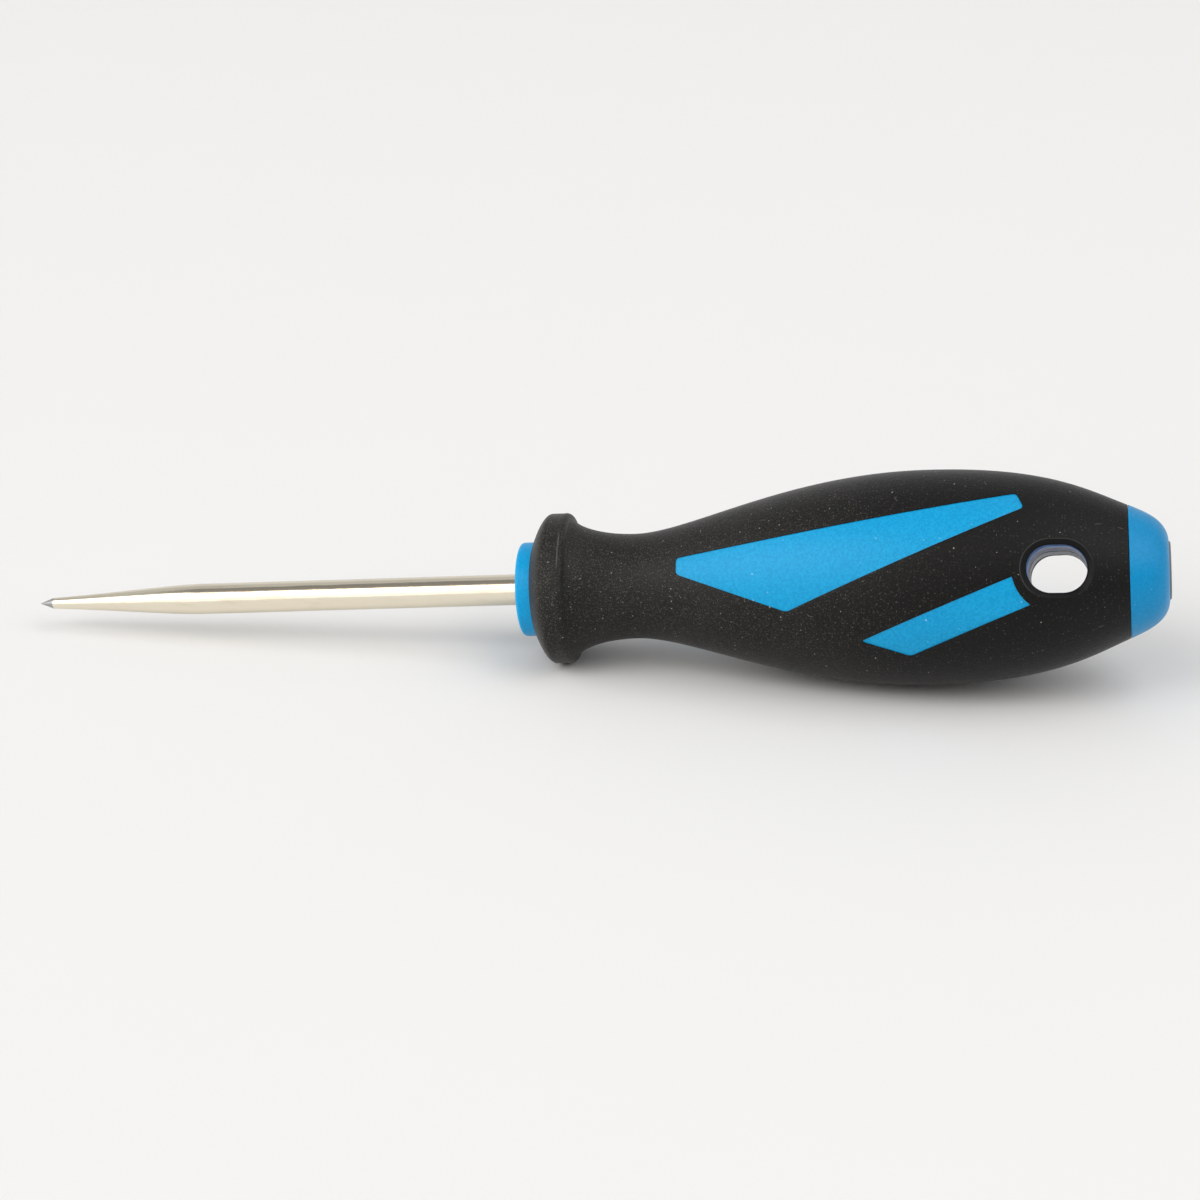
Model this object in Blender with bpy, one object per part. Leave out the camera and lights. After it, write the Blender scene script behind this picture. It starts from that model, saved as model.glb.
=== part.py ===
"""A hand awl with a round steel blade and a moulded three-part handle.

The awl lies as it would on a bench: the rim of the handle's guard and the fullest part of its belly
both touch the plane z = 0, with the blade toward -X and the butt toward +X. Every piece is made along
one tool axis, with its station 0 at the front face of the blue collar, and an empty then lays that
axis at its resting slope. Stations grow from the blade's point toward the butt. Sizes are in metres.
"""

from math import atan2, cos, pi, radians, sin, sqrt

import bmesh
import bpy
from mathutils import Matrix, Vector

# Blade
BLADE_REACH = 0.0800          # length that stands out in front of the collar
BLADE_DIAMETER = 0.0049
POINT_LENGTH = 0.0023         # the ground tip
POINT_DIAMETER = 0.0018       # where the ground tip meets the taper
TAPER_LENGTH = 0.0250         # from the ground tip back to the full diameter
TANG_WALL = 0.0129            # plastic left between the end of the tang and the hanging hole
TANG_CHAMFER = 0.0010
EAR_SETBACK = 0.0060          # from the tang's end to the ears that stop it from turning
EAR_LENGTH = 0.0100
EAR_SPAN = 0.0088
EAR_THICKNESS = 0.0018

# Outline of the handle
HANDLE_LENGTH = 0.1004        # collar face to the face of the butt
GUARD_RADIUS = 0.0118
GUARD_FRONT = 0.0052          # where the domed front of the guard meets its rim
GUARD_REAR = 0.0075           # where the rim ends and turns down to the neck
GUARD_CORNER = 0.0008         # size of the rim's rear corner
NECK_STATION = 0.0182
NECK_RADIUS = 0.00822
BELLY_STATION = 0.0636
BELLY_RADIUS = 0.01664
CAP_LENGTH = 0.0060           # parting line of the black skin and the end cap, from the butt's face
CAP_STATION = HANDLE_LENGTH - CAP_LENGTH
CAP_RADIUS = 0.01024
CAP_SLOPE = 0.42              # fall of the radius along the axis at the parting line
FACE_EDGE = 0.0003            # flat ring of the butt outside the disc's pocket

# Fullness of the outline's curves: two handles, each as its shares of the way along and across
BLADE_TAPER = ((0.45, 0.36), (0.80, 1.0))
ROUND_OVER = ((0.0, 0.55), (0.45, 1.0))
GUARD_DOME = ((0.25, 0.45), (0.65, 1.0))
CORNER_TURN = ((0.60, 0.0), (1.0, 0.60))
NECK_FLARE = ((0.0, 0.31), (0.36, 1.0))
GRIP_SWELL = ((0.193, 0.0), (0.528, 1.0))
GRIP_FALL = 0.607             # share of the fall over which the belly keeps its fullness
FALL_END = 0.19               # share of the fall that runs straight into the cap
SHOULDER_START = 0.50         # share of the cap that runs straight from the parting line
SHOULDER_END = (0.92, 0.47)

# Collar
COLLAR_RADIUS = 0.0074
COLLAR_REACH = 0.0023         # length that stands out in front of the guard
COLLAR_ROUND = 0.0005
COLLAR_LENGTH = 0.0056        # whole length, with what the guard hides

# Layers of the grip
SKIN = 0.0018                 # thickness of the soft skin
SHELL_WALL = 0.0013           # wall of the hard shell at the neck
CORE_RADIUS = 0.0066          # clear core behind the neck
CORE_STEP = 0.0300            # station where the thin front of the core ends
CORE_FLARE = 0.0060           # length over which it thickens
SPIGOT_RADIUS = 0.0056        # the end cap's spigot in the shell
SPIGOT_LENGTH = 0.0044
DISC_RADIUS = 0.0045
DISC_DEPTH = 0.0022
DISC_PROUD = 0.0003
CLEARANCE = 0.0003            # between pieces that are moulded or pressed together

# Hanging hole
HOLE_SETBACK = 0.0167         # its centre, from the butt's face
HOLE_STATION = HANDLE_LENGTH - HOLE_SETBACK
HOLE_LENGTH = 0.0090          # along the axis
HOLE_HEIGHT = 0.0072
HOLE_RIM = 0.0010             # width of the bevel at each mouth
HOLE_RIM_DEPTH = 0.0008
HOLE_ROLL = radians(25.0)     # slope of the hole when the awl rests on the bench

# Blue panels in the skin, as lengths along the axis and distances across it, seen along the hole. The
# plain band between them, the short panel and the long one's rear end are placed from the hole's centre.
PANEL_RECESS = 0.00025        # depth of the panels under the skin
PANEL_ROUND = 0.0006          # distance over which their corners are rounded
EDGE_SHARE = 0.4              # most of an edge that the rounding at each end may take
PANEL_FRONT = 0.0257
PANEL_FRONT_LOW = 0.0011
PANEL_FRONT_HIGH = 0.0036
PANEL_BREAK = 0.0430          # the long panel's lowest corner
PANEL_REAR = 0.0058           # its rear top corner, in front of the hole's centre
PANEL_REAR_HIGH = 0.0117
PANEL_REAR_CUT = 0.0011       # how far its rear edge leans back toward the band
BAND_LEVEL = 0.01133          # upper edge of the plain band, above the hole's centre
BAND_RISE = 0.41              # slope of the band
BAND_WIDTH = 0.0086           # across the band
HEEL_FRONT = 0.0295           # the short panel's front corner, in front of the hole's centre
HEEL_BREAK = 0.0222           # and its lowest corner
HEEL_HEIGHT = 0.0054          # between its two sloping edges
HEEL_RISE = 0.39              # their slope
HEEL_RELIEF = 0.0067          # radius of the arc that the short panel leaves round the hole

# Facets
SIDES = 48                    # round the pieces, with a flat facing straight down
BLADE_SIDES = 24
CURVE_STEPS = 10
CORNER_STEPS = 6
ROUND_STEPS = 3
HOLE_STEPS = 8                # round each end of the hanging hole
RELIEF_STEPS = 5              # along the arc round the hole
PRISM_ROOT = 0.0020           # from the axis to where the panels' cutters start
SHARP = radians(35.0)
MERGE_DISTANCE = 1e-6         # between spun corners that are one
SETTLE_PASSES = 40            # passes that find the resting slope


def clear_scene():
    """Remove whatever the open file holds."""
    for item in list(bpy.data.objects):
        bpy.data.objects.remove(item, do_unlink=True)


def finish(name, colour, roughness, metallic=0.0, alpha=1.0):
    """Return a Principled material."""
    material = bpy.data.materials.new(name)
    material.use_nodes = True
    shader = material.node_tree.nodes["Principled BSDF"]
    shader.inputs["Base Color"].default_value = (*colour, 1.0)
    shader.inputs["Roughness"].default_value = roughness
    shader.inputs["Metallic"].default_value = metallic
    shader.inputs["Alpha"].default_value = alpha
    return material


def bezier(start, first, second, end, steps):
    """Return points along a cubic curve, from its start to its end."""
    points = []
    for index in range(steps + 1):
        t = index / steps
        u = 1.0 - t
        weights = (u ** 3, 3 * u * u * t, 3 * u * t * t, t ** 3)
        corners = (start, first, second, end)
        points.append(tuple(sum(w * c[axis] for w, c in zip(weights, corners)) for axis in (0, 1)))
    return points


def swept(start, end, handles, steps):
    """Return a curve between two points whose handles are shares of the way along and across."""
    span = (end[0] - start[0], end[1] - start[1])
    first, second = ((start[0] + a * span[0], start[1] + b * span[1]) for a, b in handles)
    return bezier(start, first, second, end, steps)


def guard_curve():
    """Outline of the guard and its flare, from the collar to the neck, as (station, radius)."""
    foot = (COLLAR_REACH, COLLAR_RADIUS + CLEARANCE)
    corner = (GUARD_REAR + GUARD_CORNER, GUARD_RADIUS - GUARD_CORNER)
    dome = swept(foot, (GUARD_FRONT, GUARD_RADIUS), GUARD_DOME, CORNER_STEPS)
    turn = swept((GUARD_REAR, GUARD_RADIUS), corner, CORNER_TURN, ROUND_STEPS)
    flare = swept(corner, (NECK_STATION, NECK_RADIUS), NECK_FLARE, CORNER_STEPS)
    return [*dome, *turn[:-1], *flare]


def grip_curve():
    """Outline of the grip from the neck over the belly to the parting line of the end cap."""
    neck = (NECK_STATION, NECK_RADIUS)
    belly = (BELLY_STATION, BELLY_RADIUS)
    fall = CAP_STATION - BELLY_STATION
    full = (BELLY_STATION + GRIP_FALL * fall, BELLY_RADIUS)
    straight = (CAP_STATION - FALL_END * fall, CAP_RADIUS + CAP_SLOPE * FALL_END * fall)
    rise = swept(neck, belly, GRIP_SWELL, CURVE_STEPS)
    drop = bezier(belly, full, straight, (CAP_STATION, CAP_RADIUS), CURVE_STEPS)
    return [*rise[:-1], *drop]


def cap_curve():
    """Outline of the end cap, from its parting line round the shoulder to the face of the butt."""
    start = (CAP_STATION + CLEARANCE, CAP_RADIUS - CAP_SLOPE * CLEARANCE)
    face = (HANDLE_LENGTH, DISC_RADIUS + CLEARANCE + FACE_EDGE)
    length = face[0] - start[0]
    straight = SHOULDER_START * length
    first = (start[0] + straight, start[1] - CAP_SLOPE * straight)
    second = (start[0] + SHOULDER_END[0] * length, start[1] + SHOULDER_END[1] * (face[1] - start[1]))
    return bezier(start, first, second, face, HOLE_STEPS)


def radius_at(curve, station):
    """Radius of an outline at a station, between its points."""
    for (s0, r0), (s1, r1) in zip(curve, curve[1:]):
        if s0 <= station <= s1:
            return r0 + (r1 - r0) * (station - s0) / (s1 - s0)
    return curve[-1][1]


def resting_pose(outline):
    """Return the slope of the tool axis and the height of its station 0 above the bench.

    The bench touches the flats that face it under the guard and under the belly, so the outline is
    taken at the middle of a flat. Each pass turns the axis until both hang equally low.
    """
    flat = cos(pi / SIDES)
    slope = 0.0
    for _ in range(SETTLE_PASSES):
        drops = [(radius * flat * cos(slope) - station * sin(slope), station) for station, radius in outline]
        front = max(drop for drop, station in drops if station < NECK_STATION)
        rear = max(drop for drop, station in drops if station > NECK_STATION)
        slope += (rear - front) / (BELLY_STATION - GUARD_REAR)
    return slope, max(front, rear)


def link(name, mesh, material):
    """Make an object of a mesh, smooth on its round faces."""
    mesh.materials.append(material)
    mesh.shade_smooth()
    mesh.set_sharp_from_angle(angle=SHARP)
    item = bpy.data.objects.new(name, mesh)
    bpy.context.scene.collection.objects.link(item)
    return item


def cutter(name, mesh, material):
    """Make an object that only shapes other pieces."""
    item = link(name, mesh, material)
    item.hide_render = True
    item.display_type = "WIRE"
    return item


def to_mesh(name, shape):
    """Turn a finished bmesh into a mesh whose faces point out."""
    bmesh.ops.recalc_face_normals(shape, faces=shape.faces)
    mesh = bpy.data.meshes.new(name)
    shape.to_mesh(mesh)
    shape.free()
    return mesh


def turned(name, outline, sides):
    """Spin an outline of (station, radius) points round the tool axis, with a flat facing down.

    An outline that starts and ends on the axis makes a solid, and any other closes into a ring.
    """
    shape = bmesh.new()
    points = [shape.verts.new((station, 0.0, -radius)) for station, radius in outline]
    edges = [shape.edges.new(pair) for pair in zip(points, points[1:])]
    if outline[0][1] > 0.0:
        edges.append(shape.edges.new((points[-1], points[0])))
    bmesh.ops.spin(
        shape,
        geom=points + edges,
        axis=(1.0, 0.0, 0.0),
        cent=(0.0, 0.0, 0.0),
        angle=2 * pi,
        steps=sides,
        use_merge=True,
    )
    bmesh.ops.remove_doubles(shape, verts=shape.verts, dist=MERGE_DISTANCE)
    half_side = Matrix.Rotation(pi / sides, 3, "X")
    bmesh.ops.rotate(shape, verts=shape.verts, cent=(0.0, 0.0, 0.0), matrix=half_side)
    return to_mesh(name, shape)


def add_prism(shape, outline, near, far, turn=0.0):
    """Extrude a closed outline of (station, across) points along the hole's direction."""
    corners = [shape.verts.new((station, near, across)) for station, across in outline]
    lid = shape.faces.new(corners)
    grown_geometry = bmesh.ops.extrude_face_region(shape, geom=[lid])["geom"]
    moved = [item for item in grown_geometry if isinstance(item, bmesh.types.BMVert)]
    bmesh.ops.translate(shape, verts=moved, vec=(0.0, far - near, 0.0))
    matrix = Matrix.Rotation(turn, 3, "X")
    bmesh.ops.rotate(shape, verts=corners + moved, cent=(0.0, 0.0, 0.0), matrix=matrix)


def stadium(length, height):
    """Outline of a slot with round ends, about the hole's centre, as (station, across)."""
    radius = height / 2
    half = length / 2 - radius
    points = []
    for side in (1, -1):
        for index in range(HOLE_STEPS + 1):
            angle = pi * index / HOLE_STEPS - pi / 2
            across = side * radius * sin(angle)
            points.append((HOLE_STATION + side * (half + radius * cos(angle)), across))
    return points


def rounded(corners):
    """Round each corner of an outline between points the same distance along both its edges."""
    points = []
    for index, corner in enumerate(corners):
        here = Vector(corner)
        back = Vector(corners[index - 1]) - here
        ahead = Vector(corners[(index + 1) % len(corners)]) - here
        setback = min(PANEL_ROUND, EDGE_SHARE * back.length, EDGE_SHARE * ahead.length)
        start = here + back.normalized() * setback
        end = here + ahead.normalized() * setback
        for t in (0.0, 0.5, 1.0):
            points.append(tuple(start * (1 - t) ** 2 + here * 2 * t * (1 - t) + end * t ** 2))
    return points


def grown(corners, margin):
    """Move each edge of an outline outward by a margin."""
    pairs = list(zip(corners, corners[1:] + corners[:1]))
    area = sum(a[0] * b[1] - b[0] * a[1] for a, b in pairs)
    outside = -1.0 if area > 0 else 1.0
    edges = []
    for start, end in pairs:
        along = (Vector(end) - Vector(start)).normalized()
        outward = Vector((-along.y, along.x)) * outside
        edges.append((Vector(start) + outward * margin, along))
    moved = []
    for index, (point, along) in enumerate(edges):
        before, before_along = edges[index - 1]
        reach = (point - before).cross(along) / before_along.cross(along)
        moved.append(tuple(before + before_along * reach))
    return moved


def on_band(station, drop=0.0):
    """Point at a station on the band's upper edge, or on a parallel to it below."""
    return (station, BAND_LEVEL + BAND_RISE * (station - HOLE_STATION) - drop)


def long_panel():
    """Corners of the long blue panel, as (station, across)."""
    rear = HOLE_STATION - PANEL_REAR
    return [
        (PANEL_FRONT, PANEL_FRONT_LOW),
        on_band(PANEL_BREAK),
        on_band(rear + PANEL_REAR_CUT),
        (rear, PANEL_REAR_HIGH),
        (PANEL_FRONT, PANEL_FRONT_HIGH),
    ]


def meets_relief(station, across):
    """Where a line of the short panel's slope through a point first meets the arc round the hole."""
    level = across + HEEL_RISE * (HOLE_STATION - station)
    half = sqrt(HEEL_RELIEF ** 2 * (1 + HEEL_RISE ** 2) - level ** 2)
    offset = -(HEEL_RISE * level + half) / (1 + HEEL_RISE ** 2)
    return (offset, level + HEEL_RISE * offset)


def short_panel():
    """Corners of the short blue panel, whose rear end curves round the hole."""
    drop = BAND_WIDTH * sqrt(1 + BAND_RISE ** 2)
    front = on_band(HOLE_STATION - HEEL_FRONT, drop)
    lowest = on_band(HOLE_STATION - HEEL_BREAK, drop + HEEL_HEIGHT)
    upper = meets_relief(*front)
    lower = meets_relief(*lowest)
    start = atan2(lower[1], lower[0]) % (2 * pi)
    end = atan2(upper[1], upper[0]) % (2 * pi)
    arc = []
    for index in range(RELIEF_STEPS + 1):
        angle = start + (end - start) * index / RELIEF_STEPS
        arc.append((HOLE_STATION + HEEL_RELIEF * cos(angle), HEEL_RELIEF * sin(angle)))
    return [front, lowest, *arc]


def panel_cutter(name, margin, material):
    """Prisms through both panels, grown by a margin, on the near side and half a turn round."""
    shape = bmesh.new()
    outside = -BELLY_RADIUS - PRISM_ROOT
    for turn in (0.0, pi):
        for corners in (long_panel(), short_panel()):
            add_prism(shape, rounded(grown(corners, margin)), outside, -PRISM_ROOT, turn)
    item = cutter(name, to_mesh(name, shape), material)
    item.rotation_euler.x = -HOLE_ROLL
    return item


def mouth_ring(grip, growth, lift):
    """Ring of (station, depth, across) that follows the skin round the hole's mouth.

    The growth widens the slot's own outline, and the lift raises the ring from the skin.
    """
    ring = []
    for station, across in stadium(HOLE_LENGTH + 2 * growth, HOLE_HEIGHT + 2 * growth):
        depth = sqrt(radius_at(grip, station) ** 2 - across ** 2) + lift
        ring.append((station, depth, across))
    return ring


def hole_cutter(grip, material):
    """The slot of the hanging hole right through the handle, with a bevel at each mouth.

    At the bevel's foot the cutter has the slot's own outline, and outside the skin it has grown by
    twice the bevel's width.
    """
    foot = mouth_ring(grip, 0.0, -HOLE_RIM_DEPTH)
    mouth = mouth_ring(grip, 2 * HOLE_RIM, HOLE_RIM_DEPTH)
    outside = [(station, BELLY_RADIUS + HOLE_RIM_DEPTH, across) for station, _, across in mouth]
    shape = bmesh.new()
    rings = []
    for side, ring in ((-1, outside), (-1, mouth), (-1, foot), (1, foot), (1, mouth), (1, outside)):
        rings.append([shape.verts.new((station, side * depth, across)) for station, depth, across in ring])
    shape.faces.new(rings[0])
    shape.faces.new(rings[-1])
    for before, after in zip(rings, rings[1:]):
        for index in range(len(before)):
            shape.faces.new((before[index - 1], before[index], after[index], after[index - 1]))
    item = cutter("hole_cutter", to_mesh("hole_cutter", shape), material)
    item.rotation_euler.x = -HOLE_ROLL
    return item


def boolean(item, tool, operation):
    """Put an exact Boolean modifier on a piece."""
    modifier = item.modifiers.new(f"{operation.lower()}_{tool.name}", "BOOLEAN")
    modifier.operation = operation
    modifier.solver = "EXACT"
    modifier.object = tool


def tang_end():
    """Station at which the tang ends, short of the hanging hole."""
    return HOLE_STATION - HOLE_LENGTH / 2 - TANG_WALL


def ear_block(name, margin, material):
    """A flat block across the tang: the ears themselves, or with a margin their pocket."""
    half = EAR_THICKNESS / 2 + margin
    span = EAR_SPAN / 2 + margin
    rear = tang_end() - EAR_SETBACK + margin
    front = rear - EAR_LENGTH - 2 * margin
    shape = bmesh.new()
    add_prism(shape, [(front, -half), (rear, -half), (rear, half), (front, half)], -span, span)
    return cutter(name, to_mesh(name, shape), material)


def blade(material):
    """The steel blade with its ground point, and the tang with two ears inside the handle."""
    radius = BLADE_DIAMETER / 2
    point = (POINT_LENGTH - BLADE_REACH, POINT_DIAMETER / 2)
    outline = [
        (-BLADE_REACH, 0.0),
        *swept(point, (point[0] + TAPER_LENGTH, radius), BLADE_TAPER, CURVE_STEPS),
        (tang_end() - TANG_CHAMFER, radius),
        (tang_end(), radius - TANG_CHAMFER),
        (tang_end(), 0.0),
    ]
    bar = link("blade", turned("blade", outline, BLADE_SIDES), material)
    ears = ear_block("blade_ears", 0.0, material)
    boolean(bar, ears, "UNION")
    return [bar, ears]


def front_collar(material):
    """The blue ring round the blade's root, with its rear half inside the guard."""
    bore = BLADE_DIAMETER / 2 + CLEARANCE
    edge = (0.0, COLLAR_RADIUS - COLLAR_ROUND)
    outline = [
        (0.0, bore),
        *swept(edge, (COLLAR_ROUND, COLLAR_RADIUS), ROUND_OVER, ROUND_STEPS),
        (COLLAR_LENGTH, COLLAR_RADIUS),
        (COLLAR_LENGTH, bore),
    ]
    return link("front_collar", turned("front_collar", outline, SIDES), material)


def clear_core(hole, material):
    """The hard clear bar that holds the tang and fills the middle of the handle."""
    front = COLLAR_LENGTH + CLEARANCE
    thin = core_neck_radius()
    bore = BLADE_DIAMETER / 2 + CLEARANCE
    bottom = tang_end() + CLEARANCE
    end = CAP_STATION - SPIGOT_LENGTH
    outline = [
        (bottom, 0.0),
        (bottom, bore),
        (front, bore),
        (front, thin),
        (CORE_STEP, thin),
        (CORE_STEP + CORE_FLARE, CORE_RADIUS),
        (end, CORE_RADIUS),
        (end, 0.0),
    ]
    core = link("clear_core", turned("clear_core", outline, SIDES), material)
    pocket = ear_block("core_pocket", CLEARANCE, material)
    boolean(core, pocket, "DIFFERENCE")
    boolean(core, hole, "DIFFERENCE")
    return [core, pocket]


def core_neck_radius():
    """Radius of the core inside the neck, under the skin and the shell."""
    return NECK_RADIUS - SKIN - SHELL_WALL - 2 * CLEARANCE


def layer(grip, depth):
    """The grip's outline moved inward by a depth, on every second point, as hidden faces need."""
    return [(station, radius - depth) for station, radius in grip[::2]]


def body_shell(grip, hole, material):
    """The hard blue shell round the core, with raised panels that fill the skin's windows."""
    depth = SKIN + CLEARANCE
    front = COLLAR_LENGTH + CLEARANCE
    bore = CORE_RADIUS + CLEARANCE
    outline = [
        (front, NECK_RADIUS - depth),
        *layer(grip, depth),
        (CAP_STATION, bore),
        (CORE_STEP + CORE_FLARE, bore),
        (CORE_STEP, core_neck_radius() + CLEARANCE),
        (front, core_neck_radius() + CLEARANCE),
    ]
    shell = link("body_shell", turned("body_shell", outline, SIDES), material)
    top = [(station, radius - PANEL_RECESS) for station, radius in grip]
    root = [(station, radius - depth - SHELL_WALL / 2) for station, radius in reversed(grip)]
    panels = cutter("panels", turned("panels", top + root, SIDES), material)
    outlines = panel_cutter("panel_outlines", 0.0, material)
    boolean(panels, outlines, "INTERSECT")
    boolean(shell, panels, "UNION")
    boolean(shell, hole, "DIFFERENCE")
    return [shell, panels, outlines]


def grip_sleeve(guard, grip, hole, material):
    """The soft black skin with its guard, its windows and the mouths of the hole."""
    seat = COLLAR_LENGTH + CLEARANCE
    inside = [
        *reversed(layer(grip, SKIN)),
        (seat, NECK_RADIUS - SKIN),
        (seat, COLLAR_RADIUS + CLEARANCE),
    ]
    outline = [*guard[:-1], *grip, *inside]
    sleeve = link("grip_sleeve", turned("grip_sleeve", outline, SIDES), material)
    windows = panel_cutter("windows", CLEARANCE, material)
    boolean(sleeve, windows, "DIFFERENCE")
    boolean(sleeve, hole, "DIFFERENCE")
    return [sleeve, windows]


def end_cap(material):
    """The blue cap with its rounded shoulder, a spigot in the shell and a pocket for the disc."""
    front = CAP_STATION + CLEARANCE
    spigot = front - SPIGOT_LENGTH
    pocket = DISC_RADIUS + CLEARANCE
    floor = HANDLE_LENGTH - DISC_DEPTH
    outline = [
        (spigot, 0.0),
        (spigot, SPIGOT_RADIUS),
        (front, SPIGOT_RADIUS),
        *cap_curve(),
        (HANDLE_LENGTH, pocket),
        (floor, pocket),
        (floor, 0.0),
    ]
    return link("end_cap", turned("end_cap", outline, SIDES), material)


def butt_disc(material):
    """The grey disc in the face of the butt, bevelled where it stands proud."""
    floor = HANDLE_LENGTH - DISC_DEPTH + CLEARANCE
    outline = [
        (floor, 0.0),
        (floor, DISC_RADIUS),
        (HANDLE_LENGTH, DISC_RADIUS),
        (HANDLE_LENGTH + DISC_PROUD, DISC_RADIUS - DISC_PROUD),
        (HANDLE_LENGTH + DISC_PROUD, 0.0),
    ]
    return link("butt_disc", turned("butt_disc", outline, SIDES), material)


def lay_down(pieces, slope, height):
    """Parent every object to one empty that lays the tool axis in its resting pose."""
    rest = bpy.data.objects.new("tool_axis", None)
    bpy.context.scene.collection.objects.link(rest)
    rest.rotation_euler.y = -slope
    low_edge = (DISC_RADIUS - DISC_PROUD) * cos(pi / SIDES)
    back = (HANDLE_LENGTH + DISC_PROUD) * cos(slope) + low_edge * sin(slope)
    front = -BLADE_REACH * cos(slope)
    rest.location = (-(back + front) / 2, 0.0, height)
    for piece in pieces:
        piece.parent = rest
        piece.matrix_parent_inverse = Matrix.Identity(4)


def main():
    """Build the awl."""
    clear_scene()
    steel = finish("blade_steel", (0.66, 0.62, 0.56), 0.28, metallic=1.0)
    clear = finish("clear_plastic", (0.80, 0.81, 0.80), 0.25, alpha=0.6)
    blue = finish("blue_plastic", (0.02, 0.36, 0.70), 0.38)
    cap_blue = finish("cap_plastic", (0.01, 0.24, 0.53), 0.32)
    black = finish("black_skin", (0.02, 0.02, 0.022), 0.75)
    grey = finish("disc_plastic", (0.30, 0.31, 0.32), 0.5)
    guard = guard_curve()
    grip = grip_curve()
    hole = hole_cutter(grip, black)
    pieces = [
        hole,
        *blade(steel),
        front_collar(blue),
        *clear_core(hole, clear),
        *body_shell(grip, hole, blue),
        *grip_sleeve(guard, grip, hole, black),
        end_cap(cap_blue),
        butt_disc(grey),
    ]
    lay_down(pieces, *resting_pose(guard + grip))


if __name__ == "__main__":
    main()
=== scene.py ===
"""Looks of a hand awl: a nickel-plated blade in a handle of soft black skin over hard blue plastic.

Every piece is made in the tool's own frame, with X along the tool axis, its zero at the front face of
the collar, and the butt toward +X. Pieces with the hanging hole are made with the hole along Y. Sizes
are in metres.
"""

from __future__ import annotations

import logging
from dataclasses import dataclass, field
from enum import Enum
from math import asin, atan2, cos, pi, radians, sin, sqrt
from typing import Callable, Sequence

import bmesh
import bpy
import numpy as np
from mathutils import Matrix, Vector
from mathutils.geometry import delaunay_2d_cdt


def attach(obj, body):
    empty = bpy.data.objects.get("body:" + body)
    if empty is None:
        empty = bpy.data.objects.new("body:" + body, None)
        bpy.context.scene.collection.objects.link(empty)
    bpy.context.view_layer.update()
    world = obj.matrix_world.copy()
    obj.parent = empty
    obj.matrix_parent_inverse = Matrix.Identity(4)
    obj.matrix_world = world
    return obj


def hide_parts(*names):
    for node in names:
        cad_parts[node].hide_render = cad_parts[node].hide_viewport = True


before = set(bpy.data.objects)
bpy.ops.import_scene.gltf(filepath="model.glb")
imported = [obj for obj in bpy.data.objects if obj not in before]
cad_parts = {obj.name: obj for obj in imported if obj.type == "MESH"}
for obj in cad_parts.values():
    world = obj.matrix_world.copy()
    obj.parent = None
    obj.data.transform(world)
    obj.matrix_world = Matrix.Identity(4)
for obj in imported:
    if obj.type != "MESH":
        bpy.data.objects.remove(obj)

log = logging.getLogger("awl")

Point2 = tuple[float, float]
Point3 = tuple[float, float, float]
Colour = tuple[float, float, float]
Handles = tuple[Point2, Point2]
Span = tuple[float, float]
Pieces = list[bpy.types.Object]

MERGE = 1e-6
MILLIMETRE = 0.001
UNROLL_RADIUS = 0.0145
CRISP_ANGLE = 40.0
SOFT_ANGLE = 50.0


class Side(Enum):
    """Which side of the handle a piece is on, as its turn about the tool axis."""

    NEAR = 0.0
    FAR = pi


# Curves and outlines


def cubic(start: Point2, first: Point2, second: Point2, end: Point2, steps: int) -> list[Point2]:
    """Sample a cubic curve.

    Args:
        start: Its first point.
        first: The handle of its first point.
        second: The handle of its last point.
        end: Its last point.
        steps: Number of equal steps of its parameter.

    Returns:
        The points, from start to end.
    """
    t = np.linspace(0.0, 1.0, steps + 1)[:, None]
    u = 1.0 - t
    corners = [np.array(point) for point in (start, first, second, end)]
    curve = corners[0] * u ** 3 + 3 * corners[1] * u ** 2 * t + 3 * corners[2] * u * t ** 2
    return [(float(x), float(y)) for x, y in curve + corners[3] * t ** 3]


def swept(start: Point2, end: Point2, handles: Handles, steps: int) -> list[Point2]:
    """Sample a curve whose handles are shares of the way along and across.

    Args:
        start: Its first point.
        end: Its last point.
        handles: Shares of the way for the first and the second handle.
        steps: Number of steps.

    Returns:
        The points, from start to end.
    """
    along, across = end[0] - start[0], end[1] - start[1]
    first, second = ((start[0] + a * along, start[1] + b * across) for a, b in handles)
    return cubic(start, first, second, end, steps)


def softened(corners: Sequence[Point2], radius: float, steps: int, spacing: float) -> list[Point2]:
    """Round the corners of a closed outline and fill its straight edges with points.

    Args:
        corners: The outline's corners.
        radius: Length that each rounding takes from both its edges.
        steps: Steps along each rounding.
        spacing: Largest distance between points on an edge.

    Returns:
        The points of the closed outline.
    """
    count = len(corners)
    most = 0.4
    ends = []
    for index, corner in enumerate(corners):
        here = Vector(corner)
        back = Vector(corners[index - 1]) - here
        ahead = Vector(corners[(index + 1) % count]) - here
        setback = min(radius, most * back.length, most * ahead.length)
        ends.append((here + back.normalized() * setback, here, here + ahead.normalized() * setback))
    points: list[Point2] = []
    for index, (start, here, end) in enumerate(ends):
        for step in range(steps + 1):
            t = step / steps
            points.append(tuple(start * (1 - t) ** 2 + here * 2 * t * (1 - t) + end * t ** 2))
        target = ends[(index + 1) % count][0]
        pieces = max(1, round((target - end).length / spacing))
        points.extend(tuple(end.lerp(target, piece / pieces)) for piece in range(1, pieces))
    return points


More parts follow.
